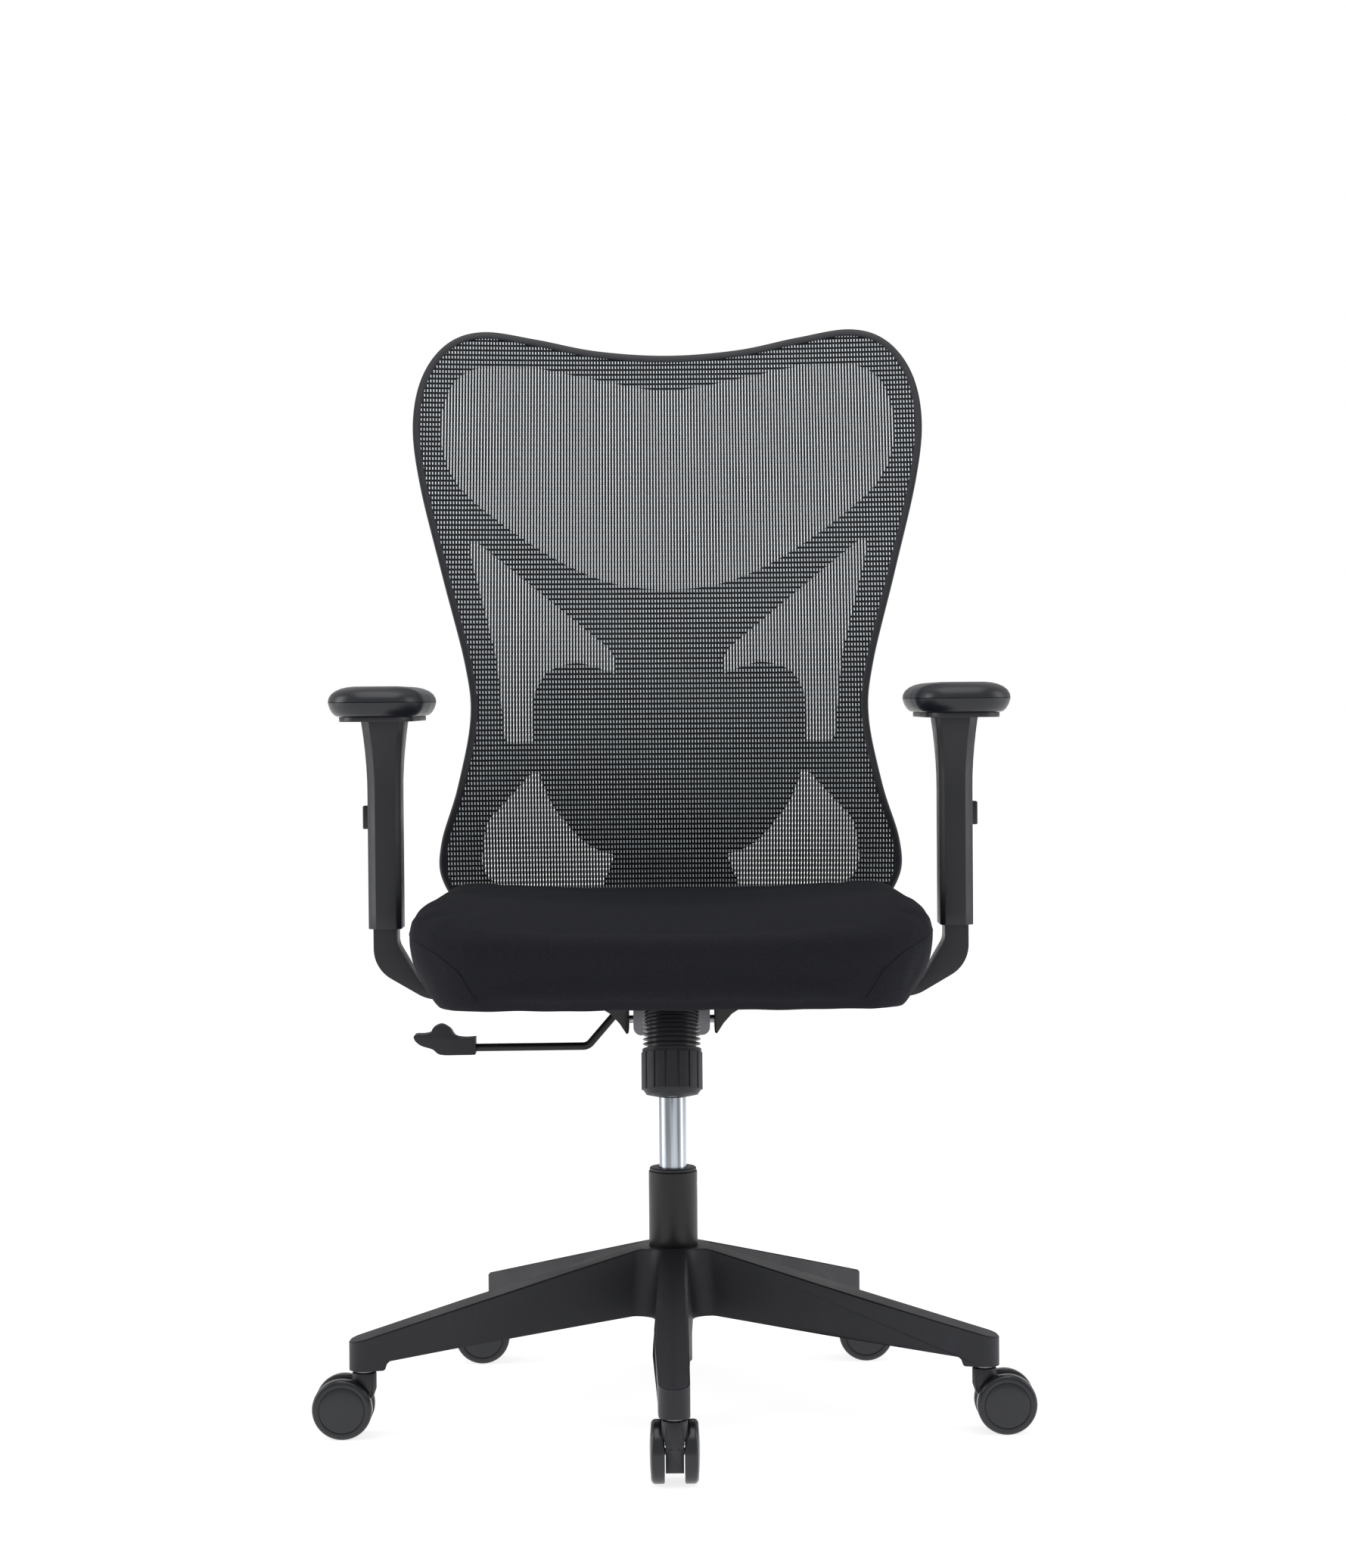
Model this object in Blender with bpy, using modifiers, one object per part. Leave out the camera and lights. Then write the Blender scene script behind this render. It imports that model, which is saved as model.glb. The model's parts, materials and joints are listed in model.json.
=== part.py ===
"""Swivel office chair: a mesh back on a moulded frame, an upholstered seat, height-adjusted arms,
a tilt mechanism on a gas lift, and a five-leg base on twin-wheel casters.

Metres, +Z up. The sitter faces -Y. The origin lies on the floor, under the column's axis.
"""

import math

import bmesh
import bpy
from mathutils import Matrix, Vector

# ---------------------------------------------------------------- driving sizes
GAP = 0.0003  # between faces that rest on each other
RUNNING = 0.0004  # radial clearance of a pin that turns or slides

LEG_COUNT = 5
LEG_REACH = 0.326  # column axis to caster stem
LEG_TIP_R = 0.0150  # rounded leg end, about the stem
LEG_TOP_HALF = 0.0132  # beside the hub, at its top
LEG_FOOT_HALF = 0.0192  # and at its foot: the legs widen downwards
LEG_CORNER_R = 0.020  # fillet between two legs
LEG_WALL = 0.0040
HUB_R = 0.041
HUB_TOP_Z = 0.1725
HUB_FOOT_Z = 0.105
SOCKET_FOOT_Z = 0.067
SOCKET_LENGTH = 0.028
LEG_TIP_Z = 0.100  # top of the leg over the stem

WHEEL_R = 0.030
WHEEL_WIDTH = 0.0142
WHEEL_SPACING = 0.0190  # between the two inner faces
WHEEL_DISC_R = 0.0225  # flat face inside the rim
WHEEL_SEGMENTS = 24
CASTER_TRAIL = 0.021
CASTER_NECK_R = 0.0122
CASTER_NECK_TOP_Z = 0.0645
CASTER_BODY_WIDTH = 0.0172
CASTER_BODY_R = 0.0205
AXLE_R = 0.0035
STEM_R = 0.0055

TUBE_R = 0.025
TUBE_WALL = 0.0018
TUBE_TOP_Z = 0.2495
TUBE_END_R = 0.0185
TUBE_END_Z = 0.053
TUBE_FLOOR = 0.0035
BUSHING_LIP = 0.0035
BUSHING_LENGTH = 0.060
CYLINDER_R = 0.014
CYLINDER_WALL = 0.0022
CYLINDER_FOOT_Z = 0.174
PISTON_ROD_R = 0.005
PISTON_R = 0.0110
HEIGHT_TRAVEL = 0.100

HOUSING_HALF = 0.0385
HOUSING_FRONT_Y = -0.080
HOUSING_REAR_Y = 0.050
HOUSING_FOOT_Z = 0.397
HOUSING_TOP_Z = 0.433
HOUSING_REAR_Z = 0.4165
HOUSING_WALL = 0.0030
HOUSING_CORNER_R = 0.008
TAPER_BOSS_R = 0.021
TAPER_BOSS_Z = 0.4105
TILT_AXLE_Y = -0.045
TILT_AXLE_Z = 0.410
TILT_AXLE_R = 0.004
RELEASE_PIN_R = 0.004
LEVER_Z = 0.4225
LEVER_R = 0.0040

SEAT_FOOT_Z = 0.440  # underside of the seat pan
SEAT_PLATE_THICKNESS = 0.0030
SEAT_PLATE_HALF = 0.085
SEAT_PLATE_FRONT_Y = -0.158
SEAT_PLATE_REAR_Y = 0.095
WING_INNER = 0.0432
WING_TIP_Z = 0.398
WING_LENGTH = 0.050

SLEEVE_TILT = math.radians(12)  # the tension knob leans, its foot towards the front
SLEEVE_Y = -0.118
SLEEVE_TOP_Z = 0.4290
SLEEVE_R = 0.0288
SLEEVE_WALL = 0.0050
SLEEVE_LENGTH = 0.050
SLEEVE_RINGS = 10
SLEEVE_GROOVE = 0.0014
KNOB_R = 0.0303
KNOB_START = 0.0415  # along the sleeve's axis, from its top
KNOB_LENGTH = 0.0480
KNOB_RIBS = 16
KNOB_GROOVE = 0.0011
KNOB_WALL = 0.0060
TENSION_BOLT_R = 0.0050
SPRING_PLATE_START = 0.0680
SPRING_PLATE_THICKNESS = 0.0050
SPRING_R = 0.0150
SPRING_WIRE_R = 0.0020
SPRING_TURNS = 6

SEAT_HALF_WIDTH = 0.262
SEAT_FRONT_Y = -0.250
SEAT_REAR_Y = 0.222
SEAT_SIDE_Z = 0.531  # top of the cushion at its sides
SEAT_DISH = 0.011  # how much lower the middle is
SEAT_WIDEST_Z = 0.506
SEAT_FRONT_DROP = 0.038
PAN_THICKNESS = 0.0100
PAN_INSET = 0.034

ARM_X = 0.2935
ARM_Y = 0.015
ARM_BAR_THICKNESS = 0.024
ARM_BAR_WIDTH = 0.040
ARM_BAR_TOP_Z = 0.645
ARM_BEND_R = 0.045
ARM_FOOT_X = 0.150
ARM_FOOT_THICKNESS = 0.012
ARM_SLEEVE_THICKNESS = 0.034
ARM_SLEEVE_WIDTH = 0.054
ARM_SLEEVE_FOOT_Z = 0.5006
ARM_SLEEVE_TOP_Z = 0.712
ARM_FLARE = 0.0050
ARM_PLATE_THICKNESS = 0.007
PAD_HALF_WIDTH = 0.048
PAD_LENGTH = 0.250
PAD_THICKNESS = 0.030
BUTTON_Z = 0.615
BUTTON_HEIGHT = 0.024
BUTTON_WIDTH = 0.016
BUTTON_PROUD = 0.006
BUTTON_TRAVEL = 0.003

LUMBAR_Y = 0.226  # middle of the back where it is furthest forward
LUMBAR_Z = 0.690
RECLINE = 0.32  # slope that the back tends to, away from the lumbar curve
LUMBAR_BEND = 0.120
BACK_WRAP = 0.034  # how far the sides come forward
BACK_HALF_WIDTH = 0.2816
BACK_FOOT_Z = 0.492
RIM_WIDTH = 0.0080
RIM_DEPTH = 0.0200
WEB_THICKNESS = 0.0045
MESH_THICKNESS = 0.0012
MESH_SETBACK = 0.0008  # behind the rim's front face
LUMBAR_THICKNESS = 0.0045
BRACKET_WIDTH = 0.064
BRACKET_THICKNESS = 0.008
BRACKET_TOP_Z = 0.625
BOLT_R = 0.004
BOLT_HEAD_R = 0.0075

# ---------------------------------------------------------------- places that follow
WHEEL_OFFSET = (WHEEL_SPACING + WHEEL_WIDTH) / 2
AXLE_LENGTH = WHEEL_SPACING + WHEEL_WIDTH
CYLINDER_TOP_Z = TAPER_BOSS_Z - GAP
RELEASE_PIN_TOP_Z = LEVER_Z - LEVER_R - GAP
SLEEVE_ROOT = SLEEVE_R - SLEEVE_WALL
SEAT_PLATE_TOP_Z = SEAT_FOOT_Z - GAP
SEAT_PLATE_FOOT_Z = SEAT_PLATE_TOP_Z - SEAT_PLATE_THICKNESS
PAN_TOP_Z = SEAT_FOOT_Z + PAN_THICKNESS
MESH_FRONT = -RIM_DEPTH / 2 + MESH_SETBACK
WEB_REAR = RIM_DEPTH / 2 - 0.0010
WEB_FRONT = WEB_REAR - WEB_THICKNESS
LUMBAR_FRONT = (MESH_FRONT + MESH_THICKNESS + WEB_FRONT - LUMBAR_THICKNESS) / 2
PAD_FOOT_Z = ARM_SLEEVE_TOP_Z + ARM_PLATE_THICKNESS + GAP


# ---------------------------------------------------------------- tools
def clear_scene():
    for obj in list(bpy.data.objects):
        bpy.data.objects.remove(obj, do_unlink=True)


def collection(name):
    made = bpy.data.collections.new(name)
    bpy.context.scene.collection.children.link(made)
    return made


def finish(name, colour, roughness, metallic=0.0):
    made = bpy.data.materials.new(name)
    made.use_nodes = True
    shader = made.node_tree.nodes["Principled BSDF"]
    shader.inputs["Base Color"].default_value = (*colour, 1.0)
    shader.inputs["Roughness"].default_value = roughness
    shader.inputs["Metallic"].default_value = metallic
    return made


def add(name, mesh, look):
    """A part of the chair, or with no look a cutter or a shape that a part takes in."""
    obj = bpy.data.objects.new(name, mesh)
    if look is None:
        TOOLS.objects.link(obj)
        obj.hide_render = True
        obj.display_type = "WIRE"
        return obj
    CHAIR.objects.link(obj)
    mesh.materials.append(look)
    if mesh.polygons:
        mesh.shade_smooth()
        mesh.set_sharp_from_angle(angle=math.radians(35))
    return obj


def combine(target, other, operation):
    modifier = target.modifiers.new(operation.lower(), "BOOLEAN")
    modifier.operation = operation
    modifier.object = other
    return target


def cut(target, *cutters):
    for cutter in cutters:
        combine(target, cutter, "DIFFERENCE")
    return target


def join(target, *others):
    for other in others:
        combine(target, other, "UNION")
    return target


def from_bmesh(name, shape, look):
    mesh = bpy.data.meshes.new(name)
    shape.to_mesh(mesh)
    shape.free()
    return add(name, mesh, look)


def block(name, low, high, look=None):
    low, high = Vector(low), Vector(high)
    place = Matrix.Translation((low + high) / 2) @ Matrix.Diagonal((*(high - low), 1.0))
    shape = bmesh.new()
    bmesh.ops.create_cube(shape, size=1.0, matrix=place)
    return from_bmesh(name, shape, look)


def round_bar(name, start, end, radius, look=None, end_radius=None, segments=24):
    """A cylinder or cone between two points."""
    start, end = Vector(start), Vector(end)
    run = end - start
    place = Matrix.Translation((start + end) / 2) @ run.to_track_quat("Z", "Y").to_matrix().to_4x4()
    shape = bmesh.new()
    bmesh.ops.create_cone(
        shape,
        cap_ends=True,
        segments=segments,
        radius1=radius,
        radius2=radius if end_radius is None else end_radius,
        depth=run.length,
        matrix=place,
    )
    return from_bmesh(name, shape, look)


def turned(name, profile, look=None, segments=24, closed=False, place=None):
    """A profile of (radius, height) points turned about Z. It runs down its outer side."""
    mesh = bpy.data.meshes.new(name)
    count = len(profile)
    edges = [(i, i + 1) for i in range(count - 1)]
    if closed:
        edges.append((count - 1, 0))
    mesh.from_pydata([(radius, 0.0, height) for radius, height in profile], edges, [])
    obj = add(name, mesh, look)
    screw = obj.modifiers.new("turn", "SCREW")
    screw.axis = "Z"
    screw.steps = segments
    screw.render_steps = segments
    screw.use_merge_vertices = True
    screw.merge_threshold = 0.00001
    screw.use_smooth_shade = True
    if place is not None:
        obj.matrix_world = place
    return obj


def welded(mesh):
    shape = bmesh.new()
    shape.from_mesh(mesh)
    bmesh.ops.remove_doubles(shape, verts=shape.verts, dist=0.00001)
    bmesh.ops.recalc_face_normals(shape, faces=shape.faces)
    shape.to_mesh(mesh)
    shape.free()


def slab(name, outlines, low, high, plane="XY", look=None):
    """A flat plate from low to high across its plane: the first outline less the others."""
    curve = bpy.data.curves.new(name, "CURVE")
    curve.dimensions = "2D"
    curve.fill_mode = "BOTH"
    curve.extrude = (high - low) / 2
    for outline in outlines:
        spline = curve.splines.new("POLY")
        spline.points.add(len(outline) - 1)
        for point, (u, v) in zip(spline.points, outline):
            point.co = (u, v, 0.0, 1.0)
        spline.use_cyclic_u = True
    sketch = bpy.data.objects.new(name + "_sketch", curve)
    bpy.context.scene.collection.objects.link(sketch)
    graph = bpy.context.evaluated_depsgraph_get()
    mesh = bpy.data.meshes.new_from_object(sketch.evaluated_get(graph))
    bpy.data.objects.remove(sketch, do_unlink=True)
    mesh.name = name
    mesh.transform(Matrix.Translation((0, 0, (low + high) / 2)))
    # XZ: outline (x, z), thickness along +Y. YZ: outline (y, z), thickness along +X.
    if plane == "XZ":
        mesh.transform(Matrix(((1, 0, 0, 0), (0, 0, 1, 0), (0, 1, 0, 0), (0, 0, 0, 1))))
    elif plane == "YZ":
        mesh.transform(Matrix(((0, 0, 1, 0), (1, 0, 0, 0), (0, 1, 0, 0), (0, 0, 0, 1))))
    welded(mesh)
    return add(name, mesh, look)


def loft(name, rings, look=None):
    """A closed skin over rings of equal point counts, capped at the first and last."""
    shape = bmesh.new()
    loops = [[shape.verts.new(point) for point in ring] for ring in rings]
    count = len(rings[0])
    for lower, upper in zip(loops, loops[1:]):
        for i in range(count):
            j = (i + 1) % count
            shape.faces.new((lower[i], lower[j], upper[j], upper[i]))
    shape.faces.new(loops[0][::-1])
    shape.faces.new(loops[-1])
    bmesh.ops.recalc_face_normals(shape, faces=shape.faces)
    return from_bmesh(name, shape, look)


def arc(centre, radius, start, end, steps):
    """Points on a circle, from start to end in degrees."""
    points = []
    for i in range(steps + 1):
        angle = math.radians(start + (end - start) * i / steps)
        points.append((centre[0] + radius * math.cos(angle), centre[1] + radius * math.sin(angle)))
    return points


def rounded(corners, steps=4):
    """A closed outline from (u, v, radius) corners, each turned as an arc of that radius."""
    points = []
    count = len(corners)
    for i, (u, v, radius) in enumerate(corners):
        here = Vector((u, v))
        back = (Vector(corners[i - 1][:2]) - here).normalized()
        ahead = (Vector(corners[(i + 1) % count][:2]) - here).normalized()
        half = back.angle(ahead) / 2
        if radius == 0 or half > math.radians(89):
            points.append((u, v))
            continue
        centre = here + (back + ahead).normalized() * (radius / math.sin(half))
        first = here + back * (radius / math.tan(half)) - centre
        last = here + ahead * (radius / math.tan(half)) - centre
        sweep = math.atan2(first.cross(last), first.dot(last))
        for step in range(steps + 1):
            spoke = Matrix.Rotation(sweep * step / steps, 2) @ first
            points.append(tuple(centre + spoke))
    return points


def smooth_outline(points, steps=3):
    """A closed smooth curve through the points."""
    made = []
    count = len(points)
    for i in range(count):
        a, b, c, d = (Vector(points[(i + k) % count]) for k in (-1, 0, 1, 2))
        for step in range(steps):
            t = step / steps
            made.append(tuple(
                0.5 * (2 * b + (c - a) * t + (2 * a - 5 * b + 4 * c - d) * t**2
                       + (3 * b - a - 3 * c + d) * t**3)
            ))
    return made


def mirrored(half):
    """A closed outline from its right half, which runs from the middle round to the middle."""
    left = [(-u, v) for u, v in reversed(half) if abs(u) > 1e-9]
    return list(half) + left


def inset(outline, distance):
    """The outline moved inwards along its own normals. The outline runs clockwise or anticlockwise."""
    count = len(outline)
    area = sum(
        outline[i][0] * outline[(i + 1) % count][1] - outline[(i + 1) % count][0] * outline[i][1]
        for i in range(count)
    )
    side = distance if area > 0 else -distance
    moved = []
    for i, (u, v) in enumerate(outline):
        run = Vector(outline[(i + 1) % count]) - Vector(outline[i - 1])
        run.normalize()
        moved.append((u - run.y * side, v + run.x * side))
    return moved


# ---------------------------------------------------------------- star base
def star_outline(leg_half, tip_r, corner_r, reach):
    """The plan of the legs: straight sides, round tips and a fillet in each corner between two legs."""
    step = 2 * math.pi / LEG_COUNT
    # The fillet's centre lies midway between two legs, corner_r outside both of their sides.
    centre_r = (leg_half + corner_r) / math.sin(step / 2)
    points = []
    for leg in range(LEG_COUNT):
        turn = leg * step - math.pi / 2
        spin = Matrix.Rotation(turn, 2)
        for u, v in arc((reach, 0.0), tip_r, -80, 80, 6):
            points.append(tuple(spin @ Vector((u, v))))
        between = spin @ Matrix.Rotation(step / 2, 2)
        spread = 90 - math.degrees(step / 2)
        for u, v in arc((centre_r, 0.0), corner_r, 180 + spread, 180 - spread, 4):
            points.append(tuple(between @ Vector((u, v))))
    return points


def leg_half(height):
    """Half a leg's width beside the hub: the legs widen downwards."""
    share = (HUB_TOP_Z - height) / (HUB_TOP_Z - HUB_FOOT_Z)
    return LEG_TOP_HALF + (LEG_FOOT_HALF - LEG_TOP_HALF) * share


def leg_top(radius):
    """Height of the legs' top line at this distance from the column."""
    slope = (HUB_TOP_Z - LEG_TIP_Z) / (LEG_REACH - HUB_R)
    return HUB_TOP_Z - (radius - HUB_R) * slope


def leg_places():
    """Each leg's angle about the column. The first leg points to the front."""
    return [leg * 2 * math.pi / LEG_COUNT - math.pi / 2 for leg in range(LEG_COUNT)]


def leg_pocket(number, turn):
    """The hollow under a leg, between the hub and the caster's socket."""
    inner, outer = TUBE_R + 3 * LEG_WALL, LEG_REACH - LEG_TIP_R - LEG_WALL
    low = SOCKET_FOOT_Z - 0.01
    spin = Matrix.Rotation(turn, 4, "Z")
    rings = []
    for radius, top_half, low_half in ((inner, leg_half(HUB_TOP_Z), leg_half(low)), (outer, LEG_TIP_R, LEG_TIP_R)):
        top = leg_top(radius) - LEG_WALL
        section = [(-low_half + LEG_WALL, low), (low_half - LEG_WALL, low),
                   (top_half - LEG_WALL, top), (-top_half + LEG_WALL, top)]
        rings.append([spin @ Vector((radius, y, z)) for y, z in section])
    return loft(f"leg_pocket_{number}", rings)


def star_base():
    low, high = SOCKET_FOOT_Z - 0.03, HUB_TOP_Z + 0.02
    rings = []
    for height in (low, high):
        outline = star_outline(leg_half(height), LEG_TIP_R, LEG_CORNER_R, LEG_REACH)
        rings.append([(x, y, height) for x, y in outline])
    base = loft("star_base", rings, PLASTIC)
    rim = LEG_REACH + 0.04
    neck = LEG_REACH - LEG_TIP_R - 0.001
    side_view = turned("leg_side_view", [
        (0.0, HUB_TOP_Z),
        (HUB_R, HUB_TOP_Z),
        (rim, leg_top(rim)),
        (rim, SOCKET_FOOT_Z),
        (neck, SOCKET_FOOT_Z),
        (neck - 0.005, SOCKET_FOOT_Z + 0.0085),
        (HUB_R + 0.012, HUB_FOOT_Z),
        (0.0, HUB_FOOT_Z),
    ], segments=8 * LEG_COUNT)
    combine(base, side_view, "INTERSECT")
    cut(base, round_bar("column_seat", (0, 0, 0), (0, 0, 0.3), TUBE_R + GAP, segments=40))
    for number, turn in enumerate(leg_places(), 1):
        at = Vector((LEG_REACH * math.cos(turn), LEG_REACH * math.sin(turn), 0.0))
        top = at + Vector((0, 0, SOCKET_FOOT_Z + SOCKET_LENGTH))
        cut(base, leg_pocket(number, turn))
        cut(base, round_bar(f"stem_socket_{number}", at, top, STEM_R + GAP, segments=16))
    return base


# ---------------------------------------------------------------- casters
def caster(number, turn):
    """A stem in the leg's socket, a swivelling body on it, an axle and two wheels."""
    stem_x, stem_y = LEG_REACH * math.cos(turn), LEG_REACH * math.sin(turn)
    if number == 1:
        trail_turn = turn + math.pi
    else:
        # The side casters trail to the left or the right of the chair.
        trail_turn = 0.0 if stem_x > 0 else math.pi
    place = Matrix.Translation((stem_x, stem_y, 0)) @ Matrix.Rotation(trail_turn, 4, "Z")
    wheel_at = Vector((CASTER_TRAIL, 0.0, WHEEL_R))

    stem = turned(f"caster_stem_{number}", [
        (0.0, SOCKET_FOOT_Z + SOCKET_LENGTH - GAP),
        (STEM_R - 0.001, SOCKET_FOOT_Z + SOCKET_LENGTH - GAP),
        (STEM_R, SOCKET_FOOT_Z + SOCKET_LENGTH - 0.002),
        (STEM_R, CASTER_NECK_TOP_Z + 2 * GAP + 0.0012),
        (STEM_R + 0.003, CASTER_NECK_TOP_Z + 2 * GAP + 0.0012),
        (STEM_R + 0.003, CASTER_NECK_TOP_Z + GAP),
        (STEM_R - 0.001, CASTER_NECK_TOP_Z + GAP),
        (STEM_R - 0.001, CASTER_NECK_TOP_Z - 0.016),
        (0.0, CASTER_NECK_TOP_Z - 0.016),
    ], STEEL, segments=12)
    stem.matrix_world = place

    body = turned(f"caster_body_{number}", [
        (0.0, CASTER_NECK_TOP_Z),
        (CASTER_NECK_R - 0.001, CASTER_NECK_TOP_Z),
        (CASTER_NECK_R, CASTER_NECK_TOP_Z - 0.001),
        (CASTER_NECK_R, CASTER_NECK_TOP_Z - 0.016),
        (CASTER_NECK_R - 0.004, CASTER_NECK_TOP_Z - 0.028),
        (0.0, CASTER_NECK_TOP_Z - 0.028),
    ], PLASTIC, segments=16)
    body.matrix_world = place
    half = CASTER_BODY_WIDTH / 2
    cheek_outline = (
        arc((CASTER_TRAIL, WHEEL_R), CASTER_BODY_R, -110, 80, 6)
        + [(CASTER_NECK_R * 0.5, CASTER_NECK_TOP_Z - 0.004), (-CASTER_NECK_R * 0.8, CASTER_NECK_TOP_Z - 0.006),
           (-CASTER_NECK_R * 0.8, CASTER_NECK_TOP_Z - 0.022)]
    )
    cheek = slab(f"caster_cheek_{number}", [cheek_outline], -half, half, plane="XZ")
    cheek.matrix_world = place
    join(body, cheek)
    pivot = round_bar(f"caster_pivot_{number}", (0, 0, CASTER_NECK_TOP_Z - 0.017),
                      (0, 0, CASTER_NECK_TOP_Z + 0.01), STEM_R - 0.001 + RUNNING, segments=12)
    pivot.matrix_world = place
    bore = round_bar(f"caster_bore_{number}", wheel_at - Vector((0, 0.03, 0)),
                     wheel_at + Vector((0, 0.03, 0)), AXLE_R + GAP, segments=12)
    bore.matrix_world = place
    cut(body, pivot, bore)
    for side in (-1, 1):
        inner = wheel_at + Vector((0, side * (WHEEL_SPACING / 2 - GAP), 0))
        room = round_bar(f"wheel_room_{number}_{side + 2}", inner, inner + Vector((0, side * 0.02, 0)),
                         WHEEL_R + 0.0010, segments=24)
        room.matrix_world = place
        cut(body, room)

    axle = round_bar(f"caster_axle_{number}", wheel_at - Vector((0, AXLE_LENGTH / 2, 0)),
                     wheel_at + Vector((0, AXLE_LENGTH / 2, 0)), AXLE_R, STEEL, segments=12)
    axle.matrix_world = place

    for side, word in ((-1, "a"), (1, "b")):
        rim = WHEEL_WIDTH / 2
        hole = AXLE_LENGTH / 2 - WHEEL_OFFSET + GAP + 0.0003
        wheel = turned(f"caster_wheel_{number}_{word}", [
            (0.0, rim),
            (WHEEL_DISC_R, rim),
            (WHEEL_DISC_R + 0.001, rim - 0.0010),
            (WHEEL_R - 0.003, rim - 0.0015),
            (WHEEL_R, rim - 0.0045),
            (WHEEL_R, -rim),
            (AXLE_R + RUNNING, -rim),
            (AXLE_R + RUNNING, hole),
            (0.0, hole),
        ], PLASTIC, segments=WHEEL_SEGMENTS)
        centre = wheel_at + Vector((0, side * WHEEL_OFFSET, 0))
        flat = Matrix.Rotation(math.pi / WHEEL_SEGMENTS, 4, "Z")  # a flat of the rim on the floor
        wheel.matrix_world = place @ Matrix.Translation(centre) @ Matrix.Rotation(-side * math.pi / 2, 4, "X") @ flat


def casters():
    for number, turn in enumerate(leg_places(), 1):
        caster(number, turn)


# ---------------------------------------------------------------- gas lift
def column():
    wall = TUBE_R - TUBE_WALL
    turned("column_tube", [
        (TUBE_R, TUBE_TOP_Z),
        (TUBE_R, HUB_FOOT_Z),
        (TUBE_END_R, HUB_FOOT_Z - 0.008),
        (TUBE_END_R, TUBE_END_Z),
        (PISTON_ROD_R + RUNNING, TUBE_END_Z),
        (PISTON_ROD_R + RUNNING, TUBE_END_Z + TUBE_FLOOR),
        (TUBE_END_R - TUBE_WALL, TUBE_END_Z + TUBE_FLOOR),
        (TUBE_END_R - TUBE_WALL, HUB_FOOT_Z - 0.007),
        (wall, HUB_FOOT_Z + 0.001),
        (wall, TUBE_TOP_Z),
    ], STEEL_BLACK, segments=24, closed=True)
    lip_top = TUBE_TOP_Z + GAP + BUSHING_LIP
    turned("column_bushing", [
        (TUBE_R - 0.0012, lip_top - 0.0006),
        (TUBE_R - 0.0006, TUBE_TOP_Z + GAP),
        (wall - GAP, TUBE_TOP_Z + GAP),
        (wall - GAP, TUBE_TOP_Z - BUSHING_LENGTH),
        (CYLINDER_R + RUNNING, TUBE_TOP_Z - BUSHING_LENGTH),
        (CYLINDER_R + RUNNING, lip_top - 0.001),
        (CYLINDER_R + RUNNING + 0.001, lip_top),
        (TUBE_R - 0.0022, lip_top),
    ], PLASTIC, segments=24, closed=True)
    floor = TUBE_END_Z + TUBE_FLOOR
    turned("thrust_bearing", [
        (TUBE_END_R - TUBE_WALL - 0.002, floor + GAP + 0.006),
        (TUBE_END_R - TUBE_WALL - 0.002, floor + GAP),
        (PISTON_ROD_R + RUNNING, floor + GAP),
        (PISTON_ROD_R + RUNNING, floor + GAP + 0.006),
    ], STEEL, segments=24, closed=True)
    turned("retaining_clip", [
        (PISTON_ROD_R + 0.0045, TUBE_END_Z - GAP),
        (PISTON_ROD_R + 0.0045, TUBE_END_Z - GAP - 0.0012),
        (PISTON_ROD_R - 0.0010 + GAP, TUBE_END_Z - GAP - 0.0012),
        (PISTON_ROD_R - 0.0010 + GAP, TUBE_END_Z - GAP),
    ], STEEL, segments=24, closed=True)
    seat_z = floor + 2 * GAP + 0.006
    head = CYLINDER_FOOT_Z + 0.006 + 0.004
    groove = (TUBE_END_Z - 2 * GAP - 0.0012, TUBE_END_Z)
    turned("piston_rod", [
        (0.0, head + 0.012),
        (PISTON_R, head + 0.012),
        (PISTON_R, head),
        (PISTON_ROD_R, head),
        (PISTON_ROD_R, seat_z + 0.003),
        (PISTON_ROD_R + 0.004, seat_z + 0.003),
        (PISTON_ROD_R + 0.004, seat_z),
        (PISTON_ROD_R, seat_z),
        (PISTON_ROD_R, groove[1]),
        (PISTON_ROD_R - 0.001, groove[1]),
        (PISTON_ROD_R - 0.001, groove[0]),
        (PISTON_ROD_R, groove[0]),
        (PISTON_ROD_R, groove[0] - 0.002),
        (0.0, groove[0] - 0.002),
    ], STEEL, segments=16)
    bore = CYLINDER_R - CYLINDER_WALL
    turned("gas_cylinder", [
        (CYLINDER_R - 0.001, CYLINDER_TOP_Z),
        (CYLINDER_R, CYLINDER_TOP_Z - 0.002),
        (CYLINDER_R, CYLINDER_FOOT_Z + 0.001),
        (CYLINDER_R - 0.001, CYLINDER_FOOT_Z),
        (PISTON_ROD_R + RUNNING, CYLINDER_FOOT_Z),
        (PISTON_ROD_R + RUNNING, CYLINDER_FOOT_Z + 0.006),
        (bore, CYLINDER_FOOT_Z + 0.006),
        (bore, CYLINDER_TOP_Z - 0.025),
        (RELEASE_PIN_R + RUNNING, CYLINDER_TOP_Z - 0.020),
        (RELEASE_PIN_R + RUNNING, CYLINDER_TOP_Z),
    ], CHROME, segments=24, closed=True)
    round_bar("release_pin", (0, 0, CYLINDER_TOP_Z - 0.016), (0, 0, RELEASE_PIN_TOP_Z),
              RELEASE_PIN_R, STEEL, segments=16)


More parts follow.
